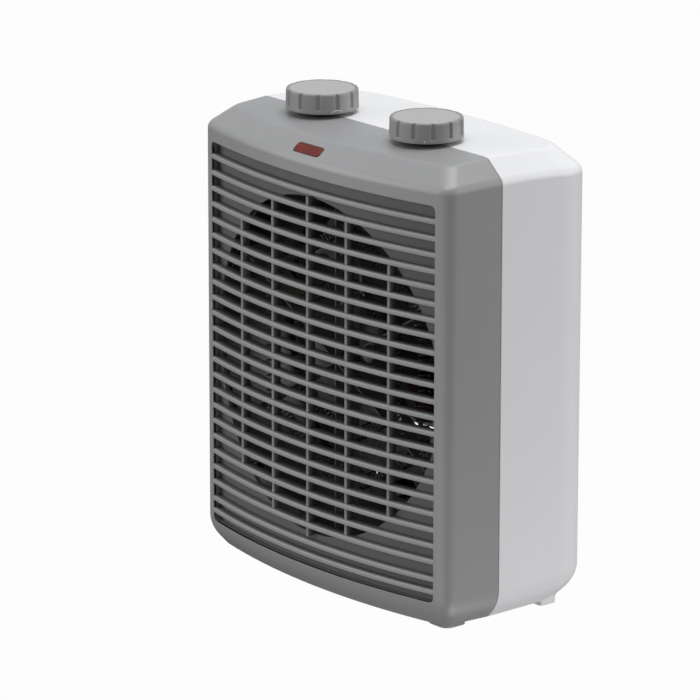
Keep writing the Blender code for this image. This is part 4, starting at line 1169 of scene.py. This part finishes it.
# ---------- studio
FLOOR_HALF = 12.0
FLOOR_BRIGHTNESS = 0.98
ROOM_STRENGTH = 0.47
GROUND_SHADE = 0.09
SKY_TINT = (0.84, 0.93, 1.0)
CAMERA_PLACE = (2.19551, -1.83452, 0.93907)
CAMERA_FORWARD = (-0.74430, 0.61025, -0.27132)
CAMERA_RIGHT = (0.63375, 0.77353, 0.00126)


def pale_floor():
    """The bright plane that the heater stands on. It takes no part in the lighting."""
    mat = bpy.data.materials.new("pale_floor")
    mat.use_nodes = True
    nodes, links = mat.node_tree.nodes, mat.node_tree.links
    nodes.remove(nodes["Principled BSDF"])
    light = add_node(nodes, "Emission", [("Color", (1, 1, 1, 1)), ("Strength", FLOOR_BRIGHTNESS)])
    links.new(light.outputs["Emission"], nodes["Material Output"].inputs["Surface"])
    bm = bmesh.new()
    bmesh.ops.create_grid(bm, x_segments=1, y_segments=1, size=FLOOR_HALF)
    made = new_object("floor", bm)
    made.location.z = GROUND_Z - 0.0005
    made.data.materials.append(mat)
    made.visible_diffuse = False
    made.visible_glossy = False
    made.visible_shadow = False


def softbox(name, azimuth, elevation, distance, size, power, colour=(1, 1, 1)):
    """An area light that faces the middle of the heater. Azimuth 0 is in front, 90 to its right."""
    a, e = math.radians(azimuth), math.radians(elevation)
    out = Vector((math.sin(a) * math.cos(e), -math.cos(a) * math.cos(e), math.sin(e)))
    data = bpy.data.lights.new(name, "AREA")
    data.shape = "RECTANGLE"
    data.size, data.size_y = size
    data.energy = power
    data.color = colour
    lamp = bpy.data.objects.new(name, data)
    lamp.location = Vector((0, 0, AXIS_Z)) + out * distance
    lamp.rotation_mode = "QUATERNION"
    lamp.rotation_quaternion = (-out).to_track_quat("-Z", "Y")
    bpy.context.scene.collection.objects.link(lamp)


def studio():
    """An even room, darker below, and soft boxes round the heater."""
    pale_floor()
    world = bpy.data.worlds.new("studio")
    bpy.context.scene.world = world
    world.use_nodes = True
    nodes, links = world.node_tree.nodes, world.node_tree.links
    place = add_node(nodes, "TexCoord")
    parts = add_node(nodes, "SeparateXYZ")
    ramp = add_node(nodes, "ValToRGB")
    below, above = ramp.color_ramp.elements
    below.position, below.color = 0.0, (GROUND_SHADE, GROUND_SHADE, GROUND_SHADE, 1)
    above.position, above.color = 0.15, (1, 1, 1, 1)
    links.new(place.outputs["Generated"], parts.inputs["Vector"])
    links.new(parts.outputs["Z"], ramp.inputs["Fac"])
    links.new(ramp.outputs["Color"], nodes["Background"].inputs["Color"])
    nodes["Background"].inputs["Strength"].default_value = ROOM_STRENGTH
    softbox("overhead", azimuth=95, elevation=84, distance=1.5, size=(1.4, 0.28), power=12.1)
    softbox("front_left", azimuth=-38, elevation=15, distance=1.7, size=(1.2, 1.2), power=10.6)
    softbox("front_fill", azimuth=20, elevation=-24, distance=0.7, size=(0.5, 0.5), power=0.9)
    softbox("rear_right", azimuth=143, elevation=12, distance=1.7, size=(0.9, 0.9), power=12.0)
    softbox("far_left", azimuth=230, elevation=16, distance=2.5, size=(2.4, 1.2), power=1.8, colour=SKY_TINT)
    softbox("bounce_right", azimuth=100, elevation=-52, distance=0.7, size=(0.4, 0.4), power=1.3)
    bpy.context.scene.view_settings.view_transform = "Standard"


def camera():
    """Seen from front right and a little above, with a long lens."""
    data = bpy.data.cameras.new("camera")
    data.sensor_width = 36.0
    data.lens = 269.28
    data.clip_start, data.clip_end = 0.1, 100.0
    made = bpy.data.objects.new("camera", data)
    forward = Vector(CAMERA_FORWARD).normalized()
    right = Vector(CAMERA_RIGHT).normalized()
    turn = Matrix((right, right.cross(forward), -forward)).transposed()
    made.matrix_world = Matrix.Translation(CAMERA_PLACE) @ turn.to_4x4()
    bpy.context.scene.collection.objects.link(made)
    bpy.context.scene.camera = made


def build():
    camera()
    studio()
    front_shell()
    outlet_wall()
    grille()
    rear_shell()
    knob("selector_cap", KNOB_X, "selector_dial", "tick", 0.0)
    knob("thermostat_cap", -KNOB_X, "thermostat_dial", "arc", math.pi / FLUTES)
    collar("selector_collar", KNOB_X)
    collar("thermostat_collar", -KNOB_X)
    window()
    drum()
    element()
    fan()
    case_screws()
    carried_over()


build()
